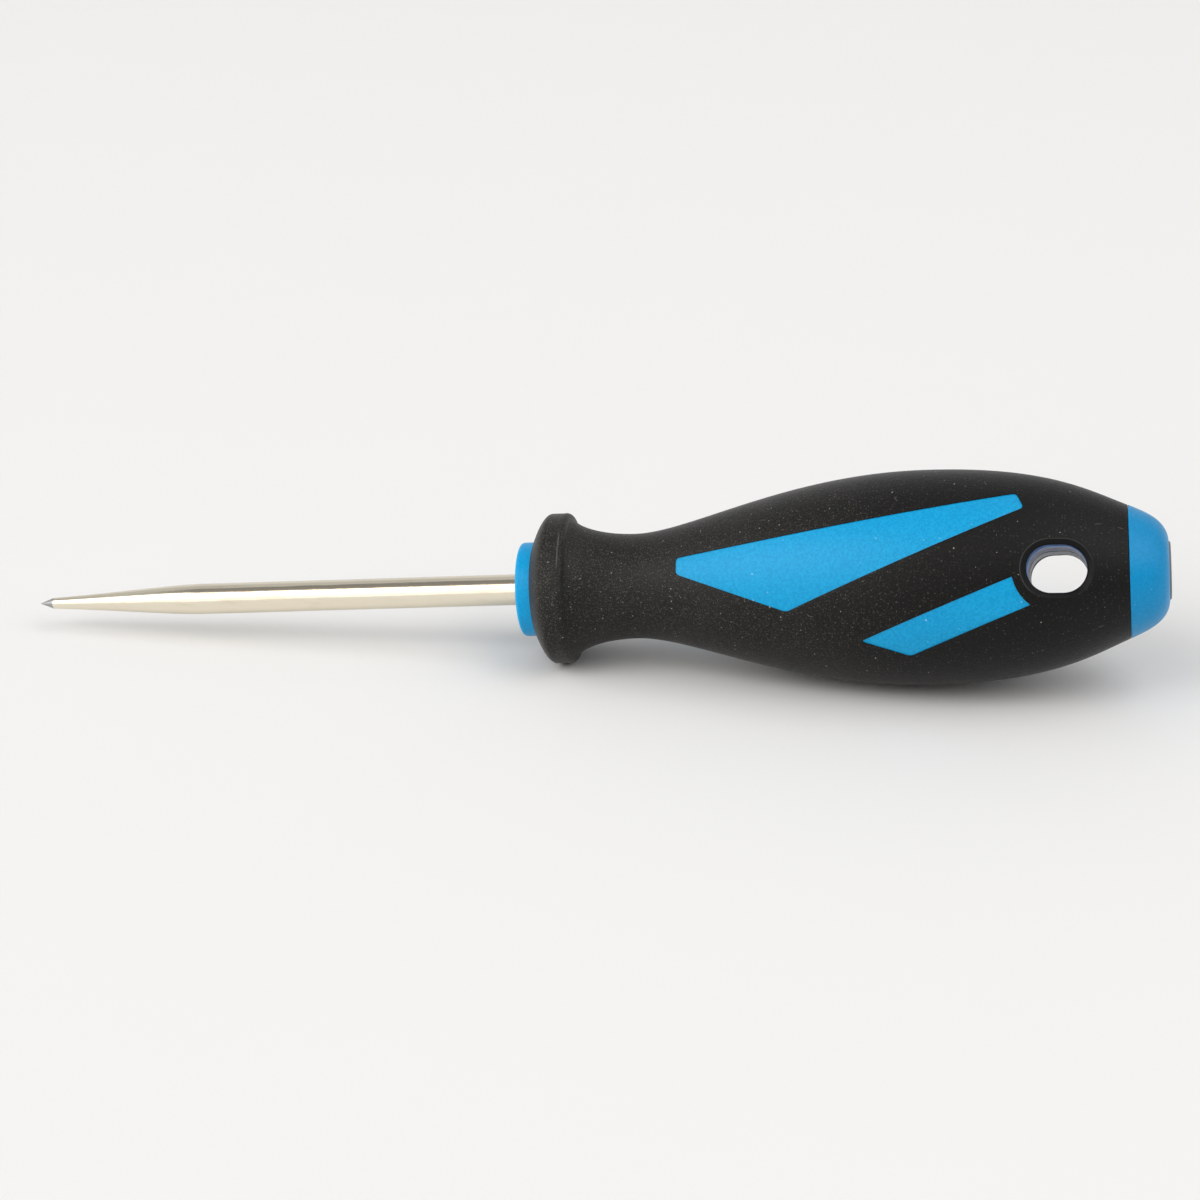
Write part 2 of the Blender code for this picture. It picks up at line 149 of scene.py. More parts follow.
def widened(outline: Sequence[Point2], margin: float) -> list[Point2]:
    """Move every point of a closed outline outward.

    Args:
        outline: The outline's points.
        margin: Distance to move its edges.

    Returns:
        The moved points, as many as before.
    """
    points = np.array(outline)
    after = np.roll(points, -1, axis=0) - points
    after /= np.linalg.norm(after, axis=1)[:, None]
    before = np.roll(after, 1, axis=0)
    following = np.roll(points, -1, axis=0)
    area = np.sum(points[:, 0] * following[:, 1] - following[:, 0] * points[:, 1])
    turn = 1.0 if area > 0 else -1.0
    normal = np.stack([after[:, 1] + before[:, 1], -after[:, 0] - before[:, 0]], axis=1) * turn
    length = np.linalg.norm(normal, axis=1)
    miter = 2.0 / np.maximum(length, 1.0) ** 2
    moved = points + normal * miter[:, None] * margin
    return [(float(x), float(y)) for x, y in moved]


def inside(points: np.ndarray, outline: Sequence[Point2]) -> np.ndarray:
    """Tell which points lie inside a closed outline.

    Args:
        points: Rows of two coordinates.
        outline: The outline's points.

    Returns:
        One truth value per row.
    """
    result = np.zeros(len(points), bool)
    x, y = points[:, 0], points[:, 1]
    for (x0, y0), (x1, y1) in zip(outline, [*outline[1:], outline[0]]):
        if y0 == y1:
            continue
        crosses = (y0 > y) != (y1 > y)
        result ^= crosses & (x < x0 + (x1 - x0) * (y - y0) / (y1 - y0))
    return result


@dataclass(frozen=True)
class ToolAxis:
    """Where the tool axis lies when the awl rests on its guard and its belly."""

    start: Point3 = (-0.010494, 0.0, 0.011273)
    slope: float = radians(5.0339)

    def matrix(self) -> Matrix:
        """Matrix from the tool's frame to the model's."""
        return Matrix.Translation(self.start) @ Matrix.Rotation(-self.slope, 4, "Y")

    def rolled(self, roll: float) -> Matrix:
        """Matrix for a piece that is made with the hole along Y, which lies at this roll."""
        return self.matrix() @ Matrix.Rotation(-roll, 4, "X")


TOOL = ToolAxis()


@dataclass(frozen=True)
class HandleForm:
    """Outline of the handle as radii along the tool axis, and its layers."""

    length: float = 0.1004
    guard_radius: float = 0.0118
    guard_front: float = 0.0052
    guard_rear: float = 0.0075
    guard_corner: float = 0.0008
    neck_station: float = 0.0182
    neck_radius: float = 0.00822
    belly_station: float = 0.0636
    belly_radius: float = 0.01664
    cap_station: float = 0.0944
    cap_radius: float = 0.01024
    cap_slope: float = 0.42
    collar_radius: float = 0.0074
    collar_reach: float = 0.0023
    collar_gap: float = 0.00004
    skin: float = 0.0018
    dome: Handles = ((0.25, 0.45), (0.65, 1.0))
    corner: Handles = ((0.60, 0.0), (1.0, 0.60))
    flare: Handles = ((0.0, 0.31), (0.36, 1.0))
    swell: Handles = ((0.193, 0.0), (0.528, 1.0))
    fall: float = 0.607
    fall_end: float = 0.19
    dome_steps: int = 22
    corner_steps: int = 10
    flare_steps: int = 30
    samples: int = 300

    def guard(self) -> list[Point2]:
        """Draw the outline from the collar over the guard's dome and rim to the neck.

        Returns:
            Its points as (station, radius).
        """
        foot = (self.collar_reach, self.collar_radius + self.collar_gap)
        edge = (self.guard_rear + self.guard_corner, self.guard_radius - self.guard_corner)
        dome = swept(foot, (self.guard_front, self.guard_radius), self.dome, self.dome_steps)
        rim = [(self.guard_front + (self.guard_rear - self.guard_front) * t, self.guard_radius)
               for t in (0.2, 0.4, 0.6, 0.8)]
        turn = swept((self.guard_rear, self.guard_radius), edge, self.corner, self.corner_steps)
        flare = swept(edge, (self.neck_station, self.neck_radius), self.flare, self.flare_steps)
        return [*dome, *rim, *turn[:-1], *flare]

    def grip(self) -> list[Point2]:
        """Draw the fine outline from the neck over the belly to the parting line of the cap.

        Returns:
            Its points as (station, radius).
        """
        neck = (self.neck_station, self.neck_radius)
        belly = (self.belly_station, self.belly_radius)
        drop = self.cap_station - self.belly_station
        full = (self.belly_station + self.fall * drop, self.belly_radius)
        straight = (
            self.cap_station - self.fall_end * drop,
            self.cap_radius + self.cap_slope * self.fall_end * drop,
        )
        rise = swept(neck, belly, self.swell, self.samples)
        descent = cubic(belly, full, straight, (self.cap_station, self.cap_radius), self.samples)
        return [*rise[:-1], *descent]

    def radius(self) -> Callable[[float], float]:
        """Return a function that gives the grip's radius at a station."""
        stations, radii = np.array(self.grip()).T
        return lambda station: float(np.interp(station, stations, radii))


@dataclass(frozen=True)
class HangingHole:
    """The slot that the awl hangs by, as seen along the hole."""

    station: float = 0.0837
    length: float = 0.0090
    height: float = 0.0072
    roll: float = radians(25.0)
    steps: int = 24

    def outline(self, growth: float = 0.0) -> list[Point2]:
        """Outline of the slot as (station, across).

        Args:
            growth: Distance by which it is wider all round.

        Returns:
            The points of the closed outline.
        """
        radius = self.height / 2 + growth
        half = (self.length - self.height) / 2
        points = []
        for side in (1, -1):
            for index in range(self.steps + 1):
                angle = pi * index / self.steps - pi / 2
                points.append((self.station + side * (half + radius * cos(angle)), side * radius * sin(angle)))
        return points


@dataclass(frozen=True)
class PanelForm:
    """Outlines of the two blue panels as (station, across), as seen along the hole."""

    hole: HangingHole = HangingHole()
    front: float = 0.0257
    front_low: float = 0.0011
    front_high: float = 0.0036
    lowest: float = 0.0430
    rear: float = 0.0058
    rear_high: float = 0.0117
    rear_cut: float = 0.0011
    band_level: float = 0.01133
    band_rise: float = 0.41
    band_width: float = 0.0086
    heel_front: float = 0.0295
    heel_lowest: float = 0.0222
    heel_height: float = 0.0054
    heel_rise: float = 0.39
    relief: float = 0.0067
    relief_steps: int = 14
    round_length: float = 0.0006
    round_steps: int = 5
    spacing: float = 0.0005

    def on_band(self, station: float, drop: float = 0.0) -> Point2:
        """Point on the band's upper edge, or on a parallel to it below."""
        return (station, self.band_level + self.band_rise * (station - self.hole.station) - drop)

    def long(self) -> list[Point2]:
        """Draw the long panel.

        Returns:
            The points of its closed outline.
        """
        rear = self.hole.station - self.rear
        corners = [
            (self.front, self.front_low),
            self.on_band(self.lowest),
            self.on_band(rear + self.rear_cut),
            (rear, self.rear_high),
            (self.front, self.front_high),
        ]
        return softened(corners, self.round_length, self.round_steps, self.spacing)

    def on_relief(self, station: float, across: float) -> Point2:
        """Where a line of the short panel's slope through a point meets the arc round the hole.

        Args:
            station: The point's station.
            across: Its distance across.

        Returns:
            The meeting point, from the hole's centre.
        """
        rise = self.heel_rise
        level = across + rise * (self.hole.station - station)
        half = sqrt(self.relief ** 2 * (1 + rise ** 2) - level ** 2)
        offset = -(rise * level + half) / (1 + rise ** 2)
        return (offset, level + rise * offset)

    def short(self) -> list[Point2]:
        """Draw the short panel, whose rear end curves round the hole.

        Returns:
            The points of its closed outline.
        """
        drop = self.band_width * sqrt(1 + self.band_rise ** 2)
        front = self.on_band(self.hole.station - self.heel_front, drop)
        lowest = self.on_band(self.hole.station - self.heel_lowest, drop + self.heel_height)
        upper = self.on_relief(*front)
        lower = self.on_relief(*lowest)
        start = atan2(lower[1], lower[0]) % (2 * pi)
        end = atan2(upper[1], upper[0]) % (2 * pi)
        arc = []
        for index in range(self.relief_steps + 1):
            angle = start + (end - start) * index / self.relief_steps
            arc.append((self.hole.station + self.relief * cos(angle), self.relief * sin(angle)))
        return softened([front, lowest, *arc], self.round_length, self.round_steps, self.spacing)


# Mesh building


def linked(name: str, data: bpy.types.ID) -> bpy.types.Object:
    """Make an object and link it to the scene.

    Args:
        name: The object's name.
        data: Its mesh, lamp or camera.

    Returns:
        The linked object.
    """
    item = bpy.data.objects.new(name, data)
    bpy.context.scene.collection.objects.link(item)
    return item


class Surface:
    """Points and faces that are gathered for one mesh."""

    def __init__(self) -> None:
        """Start with nothing."""
        self.points: list[Point3] = []
        self.faces: list[tuple[int, ...]] = []

    def put(self, points: Sequence[Point3]) -> list[int]:
        """Add points.

        Args:
            points: The points to add.

        Returns:
            Their numbers.
        """
        start = len(self.points)
        self.points.extend(points)
        return list(range(start, len(self.points)))

    def strip(self, first: Sequence[int], second: Sequence[int]) -> None:
        """Join two closed rings with faces.

        Args:
            first: Numbers of the first ring's points, or of one point for a tip.
            second: Numbers of the second ring's points, or of one point.
        """
        count = max(len(first), len(second))
        for index in range(count):
            corners = (
                first[(index - 1) % len(first)],
                first[index % len(first)],
                second[index % len(second)],
                second[(index - 1) % len(second)],
            )
            self.faces.append(tuple(dict.fromkeys(corners)))

    def rings(self, rings: Sequence[Sequence[Point3]]) -> None:
        """Join a row of rings, each to the next.

        Args:
            rings: The rings, each with one point or with as many as the others.
        """
        numbers = [self.put(ring) for ring in rings]
        for first, second in zip(numbers, numbers[1:]):
            self.strip(first, second)

    def turn(self, profile: Sequence[Point2], sides: int) -> None:
        """Spin a profile of (station, radius) round the tool axis.

        Args:
            profile: Its points, from the first ring to the last. A radius of 0 makes a tip.
            sides: Number of facets round it.
        """
        angles = [2 * pi * side / sides for side in range(sides)]
        rings = []
        for station, radius in profile:
            if radius == 0.0:
                rings.append([(station, 0.0, 0.0)])
            else:
                rings.append([(station, -radius * cos(a), radius * sin(a)) for a in angles])
        self.rings(rings)

    def copied(self, side: Side) -> None:
        """Add a copy of everything, turned about the tool axis.

        Args:
            side: The side that the copy goes to.
        """
        matrix = Matrix.Rotation(side.value, 3, "X")
        offset = len(self.points)
        self.points.extend([tuple(matrix @ Vector(point)) for point in self.points])
        self.faces.extend([tuple(number + offset for number in face) for face in self.faces])

    def piece(self, name: str, material: bpy.types.Material, place: Matrix, sharp: float) -> bpy.types.Object:
        """Make an object of what was gathered.

        Args:
            name: The object's name.
            material: Its finish.
            place: Its matrix in the model's frame.
            sharp: Angle in degrees above which an edge is shaded sharp.

        Returns:
            The linked object.
        """
        mesh = bpy.data.meshes.new(name)
        mesh.from_pydata(self.points, [], self.faces)
        shape = bmesh.new()
        shape.from_mesh(mesh)
        bmesh.ops.remove_doubles(shape, verts=shape.verts, dist=MERGE)
        bmesh.ops.recalc_face_normals(shape, faces=shape.faces)
        shape.to_mesh(mesh)
        shape.free()
        mesh.transform(place)
        mesh.materials.append(material)
        mesh.shade_smooth()
        mesh.set_sharp_from_angle(angle=radians(sharp))
        return linked(name, mesh)


def spun(
    name: str, profile: Sequence[Point2], sides: int, material: bpy.types.Material, place: Matrix, sharp: float
) -> bpy.types.Object:
    """Make a piece by spinning a profile round the tool axis.

    Args:
        name: The object's name.
        profile: Its points as (station, radius).
        sides: Number of facets round it.
        material: Its finish.
        place: Its matrix in the model's frame.
        sharp: Angle in degrees above which an edge is shaded sharp.

    Returns:
        The linked object.
    """
    surface = Surface()
    surface.turn(profile, sides)
    return surface.piece(name, material, place, sharp)


def triangulated(
    outer: Sequence[Point2], holes: Sequence[Sequence[Point2]], step: float
) -> tuple[list[Point2], list[tuple[int, ...]]]:
    """Fill a flat outline with even triangles.

    Args:
        outer: The closed outer outline.
        holes: Closed outlines to leave open.
        step: Distance between the points of the filling.

    Returns:
        The points and the triangles.
    """
    loops = [outer, *holes]
    fixed: list[Point2] = []
    edges: list[tuple[int, int]] = []
    for loop in loops:
        start = len(fixed)
        fixed.extend(loop)
        edges.extend((start + i, start + (i + 1) % len(loop)) for i in range(len(loop)))
    border = np.array(fixed)
    low, high = border.min(axis=0), border.max(axis=0)
    rows = np.arange(low[1] + step / 2, high[1], step * sqrt(3) / 2)
    grid = []
    for number, level in enumerate(rows):
        start = low[0] + step * (0.5 if number % 2 else 1.0)
        grid.extend((x, level) for x in np.arange(start, high[0], step))
    inner = np.array(grid)
    inner = inner[inside(inner, outer)]
    for hole in holes:
        inner = inner[~inside(inner, hole)]
    clearance, chunk_size = 0.6 * step, 500
    kept = [chunk[(np.linalg.norm(chunk[:, None] - border[None], axis=2) > clearance).all(axis=1)]
            for chunk in np.array_split(inner, max(1, len(inner) // chunk_size))]
    inner = np.concatenate(kept)
    every = np.concatenate([border, inner]) / MILLIMETRE
    result = delaunay_2d_cdt([Vector(point) for point in every], edges, [], 0, 1e-7)
    points = [(point[0] * MILLIMETRE, point[1] * MILLIMETRE) for point in result[0]]
    middles = np.array([np.mean([points[i] for i in face], axis=0) for face in result[2]])
    wanted = inside(middles, outer)
    for hole in holes:
        wanted &= ~inside(middles, hole)
    return points, [tuple(face) for face, keep in zip(result[2], wanted) if keep]


def cut(piece: bpy.types.Object, tool: bpy.types.Object, sharp: float) -> None:
    """Cut one piece with another, keep the result and remove the tool.

    Args:
        piece: The piece to cut.
        tool: The cutter.
        sharp: Angle in degrees above which an edge is shaded sharp.
    """
    modifier = piece.modifiers.new("cut", "BOOLEAN")
    modifier.operation = "DIFFERENCE"
    modifier.solver = "EXACT"
    modifier.object = tool
    bpy.context.view_layer.update()
    graph = bpy.context.evaluated_depsgraph_get()
    mesh = bpy.data.meshes.new_from_object(piece.evaluated_get(graph))
    piece.modifiers.clear()
    old = piece.data
    piece.data = mesh
    bpy.data.meshes.remove(old)
    mesh.name = piece.name
    mesh.shade_smooth()
    mesh.set_sharp_from_angle(angle=radians(sharp))
    bpy.data.objects.remove(tool, do_unlink=True)


# Shader graphs


class Value:
    """A socket of a shader graph that takes part in arithmetic."""

    def __init__(self, graph: Graph, socket: bpy.types.NodeSocket | None) -> None:
        """Wrap a socket of a graph."""
        self.graph = graph
        self.socket = socket

    def _math(self, operation: str, first: Value | float, second: Value | float = 0.0) -> Value:
        """Add a Math node and return its result."""
        return self.graph.node("ShaderNodeMath", {"operation": operation}, {0: first, 1: second})

    def __add__(self, other: Value | float) -> Value:
        """Sum."""
        return self._math("ADD", self, other)

    __radd__ = __add__

    def __sub__(self, other: Value | float) -> Value:
        """Difference."""
        return self._math("SUBTRACT", self, other)

    def __rsub__(self, other: float) -> Value:
        """Difference from a number."""
        return self._math("SUBTRACT", other, self)

    def __mul__(self, other: Value | float) -> Value:
        """Product."""
        return self._math("MULTIPLY", self, other)

    __rmul__ = __mul__

    def __truediv__(self, other: Value | float) -> Value:
        """Quotient."""
        return self._math("DIVIDE", self, other)

    def __pow__(self, other: float) -> Value:
        """Power."""
        return self._math("POWER", self, other)

    def __gt__(self, other: Value | float) -> Value:
        """1 where this is above the other, else 0."""
        return self._math("GREATER_THAN", self, other)

    def __lt__(self, other: Value | float) -> Value:
        """1 where this is below the other, else 0."""
        return self._math("LESS_THAN", self, other)

    def __abs__(self) -> Value:
        """Size without its sign."""
        return self._math("ABSOLUTE", self)

    def step(self, start: float, end: float) -> Value:
        """Smooth step.

        Args:
            start: Where the result is 0.
            end: Where it is 1. It may be below start.

        Returns:
            A value from 0 to 1.
        """
        low, high, first, last = (start, end, 0.0, 1.0) if start < end else (end, start, 1.0, 0.0)
        settings = {"interpolation_type": "SMOOTHSTEP"}
        return self.graph.node("ShaderNodeMapRange", settings, {0: self, 1: low, 2: high, 3: first, 4: last})


class Graph:
    """The node tree of one material, world or lamp."""

    def __init__(self, tree: bpy.types.NodeTree) -> None:
        """Empty a node tree and take it over."""
        self.tree = tree
        tree.nodes.clear()

    def node(
        self, kind: str, settings: dict[str, object], inputs: dict[int | str, object], output: int | str | None = 0
    ) -> Value:
        """Add a node.

        Args:
            kind: Its type.
            settings: Its own settings. A ramp's stops are pairs of place and colour.
            inputs: Values or links of its sockets, by name or number.
            output: Name or number of the socket to return, or None at the end of a graph.

        Returns:
            The chosen output.
        """
        item = self.tree.nodes.new(kind)
        for name, value in settings.items():
            if name == "stops":
                stops = item.color_ramp.elements
                while len(stops) < len(value):
                    stops.new(0.5)
                for stop, (place, colour) in zip(stops, value):
                    stop.position = place
                    stop.color = (*colour, 1.0)
            else:
                setattr(item, name, value)
        for name, value in inputs.items():
            if isinstance(value, Value):
                self.tree.links.new(value.socket, item.inputs[name])
            else:
                item.inputs[name].default_value = value
        return Value(self, None if output is None else item.outputs[output])

    def place(self, roll: float = 0.0) -> Value:
        """Find the point on the surface in the tool's frame.

        Args:
            roll: Angle about the tool axis to turn it back by.

        Returns:
            The point.
        """
        point = self.node("ShaderNodeTexCoord", {}, {}, "Object")
        inputs = {"Vector": point, "Location": TOOL.start, "Rotation": (-roll, -TOOL.slope, 0.0)}
        return self.node("ShaderNodeMapping", {"vector_type": "TEXTURE"}, inputs)

    def unrolled(self) -> Value:
        """Unroll the handle at one radius.

        Returns:
            The point on the surface as (station, arc).
        """
        x, y, z = self.axes(self.place())
        angle = self.node("ShaderNodeMath", {"operation": "ARCTAN2"}, {0: z, 1: -1.0 * y})
        return self.node("ShaderNodeCombineXYZ", {}, {0: x, 1: angle * UNROLL_RADIUS})

    def axes(self, point: Value) -> tuple[Value, Value, Value]:
        """Split a point or a colour.

        Args:
            point: What to split.

        Returns:
            Its three numbers.
        """
        x = self.node("ShaderNodeSeparateXYZ", {}, {0: point}, 0)
        outputs = x.socket.node.outputs
        return x, Value(self, outputs[1]), Value(self, outputs[2])

    def stretched(self, point: Value, scale: Point3) -> Value:
        """Multiply a point by a scale for each axis."""
        settings = {"operation": "MULTIPLY"}
        return self.node("ShaderNodeVectorMath", settings, {0: point, 1: scale})

    def noise(self, point: Value, scale: float, detail: float = 2.0, rough: float = 0.5, warp: float = 0.0) -> Value:
        """Noise from about 0 to 1.

        Args:
            point: Where to read it.
            scale: Waves per metre.
            detail: Number of finer layers.
            rough: Share that each finer layer keeps.
            warp: How far it is distorted.

        Returns:
            The noise.
        """
        inputs = {"Vector": point, "Scale": scale, "Detail": detail, "Roughness": rough, "Distortion": warp}
        return self.node("ShaderNodeTexNoise", {}, inputs, "Fac")

    def cells(self, flat: Value, scale: float) -> tuple[Value, Value, Value]:
        """Scatter one point in each cell of a flat pattern.

        Args:
            flat: Unrolled place.
            scale: Cells per metre.

        Returns:
            The distance to the nearest point in cells, that point's place, and its random colour.
        """
        settings = {"feature": "F1", "voronoi_dimensions": "2D"}
        inputs = {"Vector": flat, "Scale": scale, "Randomness": 1.0}
        distance = self.node("ShaderNodeTexVoronoi", settings, inputs, "Distance")
        outputs = distance.socket.node.outputs
        return distance, Value(self, outputs["Position"]), Value(self, outputs["Color"])

    def specks(self, flat: Value, scale: float, rarity: Value | float, least: float, spread: float) -> Value:
        """Scatter round specks of dust.

        Args:
            flat: Unrolled place.
            scale: Cells per metre.
            rarity: Share of the cells that stay empty.
            least: Smallest radius in cells.
            spread: How much larger the largest is.

        Returns:
            1 on a speck, else 0.
        """
        distance, _, random = self.cells(flat, scale)
        chance, size, _ = self.axes(random)
        radius = least + size * size * spread
        return (distance < radius) * (chance > rarity)

    def strands(self, flat: Value, scale: float, rarity: float, width: float, reach: float) -> Value:
        """Scatter short curved hairs.

        Args:
            flat: Unrolled place.
            scale: Cells per metre.
            rarity: Share of the cells that stay empty.
            width: Half the width of a hair in cells.
            reach: Half its length in cells.

        Returns:
            1 on a hair, else 0.
        """
        _, middle, random = self.cells(flat, scale)
        chance, turn, bend = self.axes(random)
        ends = {0: self.stretched(flat, (scale,) * 3), 1: self.stretched(middle, (scale,) * 3)}
        away = self.node("ShaderNodeVectorMath", {"operation": "SUBTRACT"}, ends)
        inputs = {"Vector": away, "Axis": (0.0, 0.0, 1.0), "Angle": turn * 2 * pi}
        x, y, _ = self.axes(self.node("ShaderNodeVectorRotate", {}, inputs))
        line = y + (bend - 0.5) * 3.0 * x * x
        return (abs(line) < width) * (abs(x) < reach) * (chance > rarity)

    def blend(self, share: Value | float, first: Value | Colour, second: Value | Colour) -> Value:
        """Mix two colours.

        Args:
            share: 0 for the first, 1 for the second.
            first: The first colour.
            second: The second colour.

        Returns:
            The mixed colour.
        """
        inputs = {0: share, 6: self.full(first), 7: self.full(second)}
        return self.node("ShaderNodeMix", {"data_type": "RGBA"}, inputs, 2)

    @staticmethod
    def full(colour: Value | Colour) -> Value | tuple[float, float, float, float]:
        """Give a plain colour its fourth number."""
        return colour if isinstance(colour, Value) else (*colour, 1.0)

    def bump(self, height: Value, depth: float) -> Value:
        """Bend the surface's normal by a height from 0 to 1 over a depth in metres."""
        return self.node("ShaderNodeBump", {}, {"Height": height, "Distance": depth, "Strength": 1.0})

    def finish(self, inputs: dict[int | str, object]) -> None:
        """End the graph in a Principled shader with these inputs."""
        shader = self.node("ShaderNodeBsdfPrincipled", {}, inputs)
        self.node("ShaderNodeOutputMaterial", {}, {"Surface": shader}, None)


def new_material(name: str) -> tuple[bpy.types.Material, Graph]:
    """Make a material.

    Args:
        name: Its name.

    Returns:
        The material and its empty graph.
    """
    material = bpy.data.materials.new(name)
    material.use_nodes = True
    return material, Graph(material.node_tree)


def srgb(red: int, green: int, blue: int) -> Colour:
    """Turn a screen colour into linear light.

    Args:
        red: Its red, from 0 to 255.
        green: Its green.
        blue: Its blue.

    Returns:
        The linear colour.
    """
    def linear(number: int) -> float:
        """Turn one channel into linear light."""
        share = number / 255
        return share / 12.92 if share <= 0.04045 else ((share + 0.055) / 1.055) ** 2.4
    return (linear(red), linear(green), linear(blue))


# Finishes


@dataclass(frozen=True)
class NickelPlate:
    """Bright nickel on a drawn steel bar, with the bare ground steel of the point."""

    plate: Colour = (0.82, 0.75, 0.615)
    worn: Colour = (0.66, 0.57, 0.43)
    ground: Colour = (0.36, 0.36, 0.37)
    tip_end: float = -0.0777
    tip_fade: float = 0.00012
    tip_waver: float = 0.0004
    wave_depth: float = 0.00004

    def material(self) -> bpy.types.Material:
        """Build the finish.

        Returns:
            The material.
        """
        material, g = new_material("nickel_plate")
        point = g.place()
        x, _, _ = g.axes(point)
        long_waves = g.noise(g.stretched(point, (0.16, 1.0, 1.0)), 900.0)
        pits = g.noise(g.stretched(point, (0.5, 1.0, 1.0)), 4200.0, rough=0.6)
        stain = g.noise(g.stretched(point, (0.25, 1.0, 1.0)), 420.0, detail=3.0, rough=0.6, warp=0.4)
        edge = g.noise(point, 2500.0)
        border = x + (edge - 0.5) * self.tip_waver
        tip = border.step(self.tip_end + self.tip_fade, self.tip_end - self.tip_fade)
        grind = g.noise(g.stretched(point, (1.0, 0.12, 0.12)), 16000.0, rough=0.7)
        plate = g.blend(stain.step(0.5, 0.78) * 0.5, self.plate, self.worn)
        colour = g.blend(tip, plate, self.ground)
        rough = 0.15 + stain.step(0.45, 0.8) * 0.08 + pits.step(0.55, 0.8) * 0.06 + tip * 0.20
        height = long_waves * 0.8 + pits * 0.10 + tip * grind * 0.35
        g.finish({
            "Base Color": colour,
            "Metallic": 1.0,
            "Roughness": rough,
            "Normal": g.bump(height, self.wave_depth),
        })
        return material


@dataclass(frozen=True)
class SoftSkin:
    """Soft black moulding with a fine grain, dust and a few short hairs. Its colour also holds painted light:
    lighter toward the guard, painted shade toward the butt and on the hole's bevel, and painted highlight lines on
    the bevel's outer edge and behind the guard's rim, over its mould flash.
    """

    hole: HangingHole
    rim: float
    flash_highlight_line: float
    black: Colour = (0.0028, 0.0028, 0.0029)
    # Lighter colour of the skin's bloom, also laid on as painted light toward the guard.
    bloom_and_painted_light: Colour = (0.026, 0.0255, 0.0235)
    fleck: Colour = (0.078, 0.073, 0.061)
    dust: Colour = (0.40, 0.38, 0.32)
    # Colour of the painted highlight lines on the bevel's outer edge and behind the guard's rim.
    line: Colour = (0.105, 0.105, 0.098)
    # Where the painted shade of the hole's bevel fades in, and the width of the painted highlight line on its outer
    # edge.
    bevel_shade_fade: Span = (-0.00004, 0.00008)
    rim_highlight_width: Span = (0.00024, 0.00014)
    # Width and height range of the painted highlight along the mould flash behind the guard's rim.
    flash_highlight_width: Span = (0.00016, 0.00006)
    flash_highlight_ends: tuple[Span, Span] = ((0.0066, 0.0084), (0.0114, 0.0104))
    # Span where dust thickens toward the guard and the painted light rises toward it.
    front_reach: Span = (0.085, 0.0)
    face_reach: Span = (0.009, 0.004)
    # Span where the light flecks and salt thin out toward the butt, partly dust and partly painted shade.
    fleck_fade_and_shade_reach: Span = (0.078, 0.046)
    # Span where painted shade darkens the skin toward the butt.
    painted_rear_shade_reach: Span = (0.068, 0.034)
    grain_depth: float = 0.00010

    def ring(self, g: Graph) -> tuple[Value, Value]:
        """Find the bevel round the hole, which is painted darker as painted shade, and its outer edge, which gets a
        painted highlight line.

        Args:
            g: The graph of the finish.

        Returns:
            1 off the bevel and 0 on its painted shade, and 1 on the painted highlight line of its outer edge.
        """
        x, _, z = g.axes(g.place(self.hole.roll))
        half = (self.hole.length - self.hole.height) / 2
        along = g.node("ShaderNodeMath", {"operation": "MAXIMUM"}, {0: abs(x - self.hole.station) - half, 1: 0.0})
        reach = (along ** 2.0 + z ** 2.0) ** 0.5
        edge = self.hole.height / 2 + self.rim
        off_painted_bevel_shade = reach.step(*(edge + part for part in self.bevel_shade_fade))
        return off_painted_bevel_shade, off_painted_bevel_shade * reach.step(*(edge + part for part in self.rim_highlight_width))

    def painted_flash_highlight(self, x: Value, y: Value, z: Value) -> Value:
        """Draw a painted highlight along the mould flash behind the guard's rim, on the near upper side alone.

        Args:
            x: Station of the point on the surface.
            y: Its place across the tool axis, with the far side positive.
            z: Its height over the tool axis.

        Returns:
            1 on the line, else 0.
        """
        wide, thin = self.flash_highlight_width
        flash_highlight_line = x.step(self.flash_highlight_line - wide, self.flash_highlight_line - thin) * x.step(self.flash_highlight_line + wide, self.flash_highlight_line + thin)
        low, high = self.flash_highlight_ends
        return flash_highlight_line * z.step(*low) * z.step(*high) * (y < 0.0)

    def material(self) -> bpy.types.Material:
        """Build the finish.

        Returns:
            The material.
        """
        material, g = new_material("soft_black_skin")
        point = g.place()
        flat = g.unrolled()
        x, y, z = g.axes(point)
        front = x.step(*self.front_reach)
        face = x.step(*self.face_reach)
        near = x.step(*self.fleck_fade_and_shade_reach)
        grain = g.noise(point, 3600.0, rough=0.6)
        coarse = g.noise(point, 1500.0, rough=0.55)
        cloud = g.noise(point, 90.0, detail=3.0, rough=0.55)
        salt = g.noise(point, 4600.0, detail=1.0)
        fleck = g.specks(flat, 1700.0, rarity=0.54 - front * 0.14 - face * 0.14, least=0.08, spread=0.15)
        speck = g.specks(flat, 640.0, rarity=0.94 - front * 0.16 - face * 0.06, least=0.030, spread=0.045)
        lint = g.strands(flat, 300.0, rarity=0.97, width=0.016, reach=0.14)
        off_painted_bevel_shade, ring = self.ring(g)
        # The bloom's grain and cloud parts are the skin's own blotchy tone. Its rise toward the guard is painted
        # light, its fade toward the butt is painted shade, and the bevel round the hole gets none of it, as painted
        # shade.
        bloom_and_painted_light = grain.step(0.46, 0.74) * 0.50 + cloud.step(0.35, 0.75) * 0.20 + front * 0.30
        bloom_and_painted_light = bloom_and_painted_light * (x.step(*self.painted_rear_shade_reach) * 0.92 + 0.08) * off_painted_bevel_shade
        colour = g.blend(bloom_and_painted_light, self.black, self.bloom_and_painted_light)
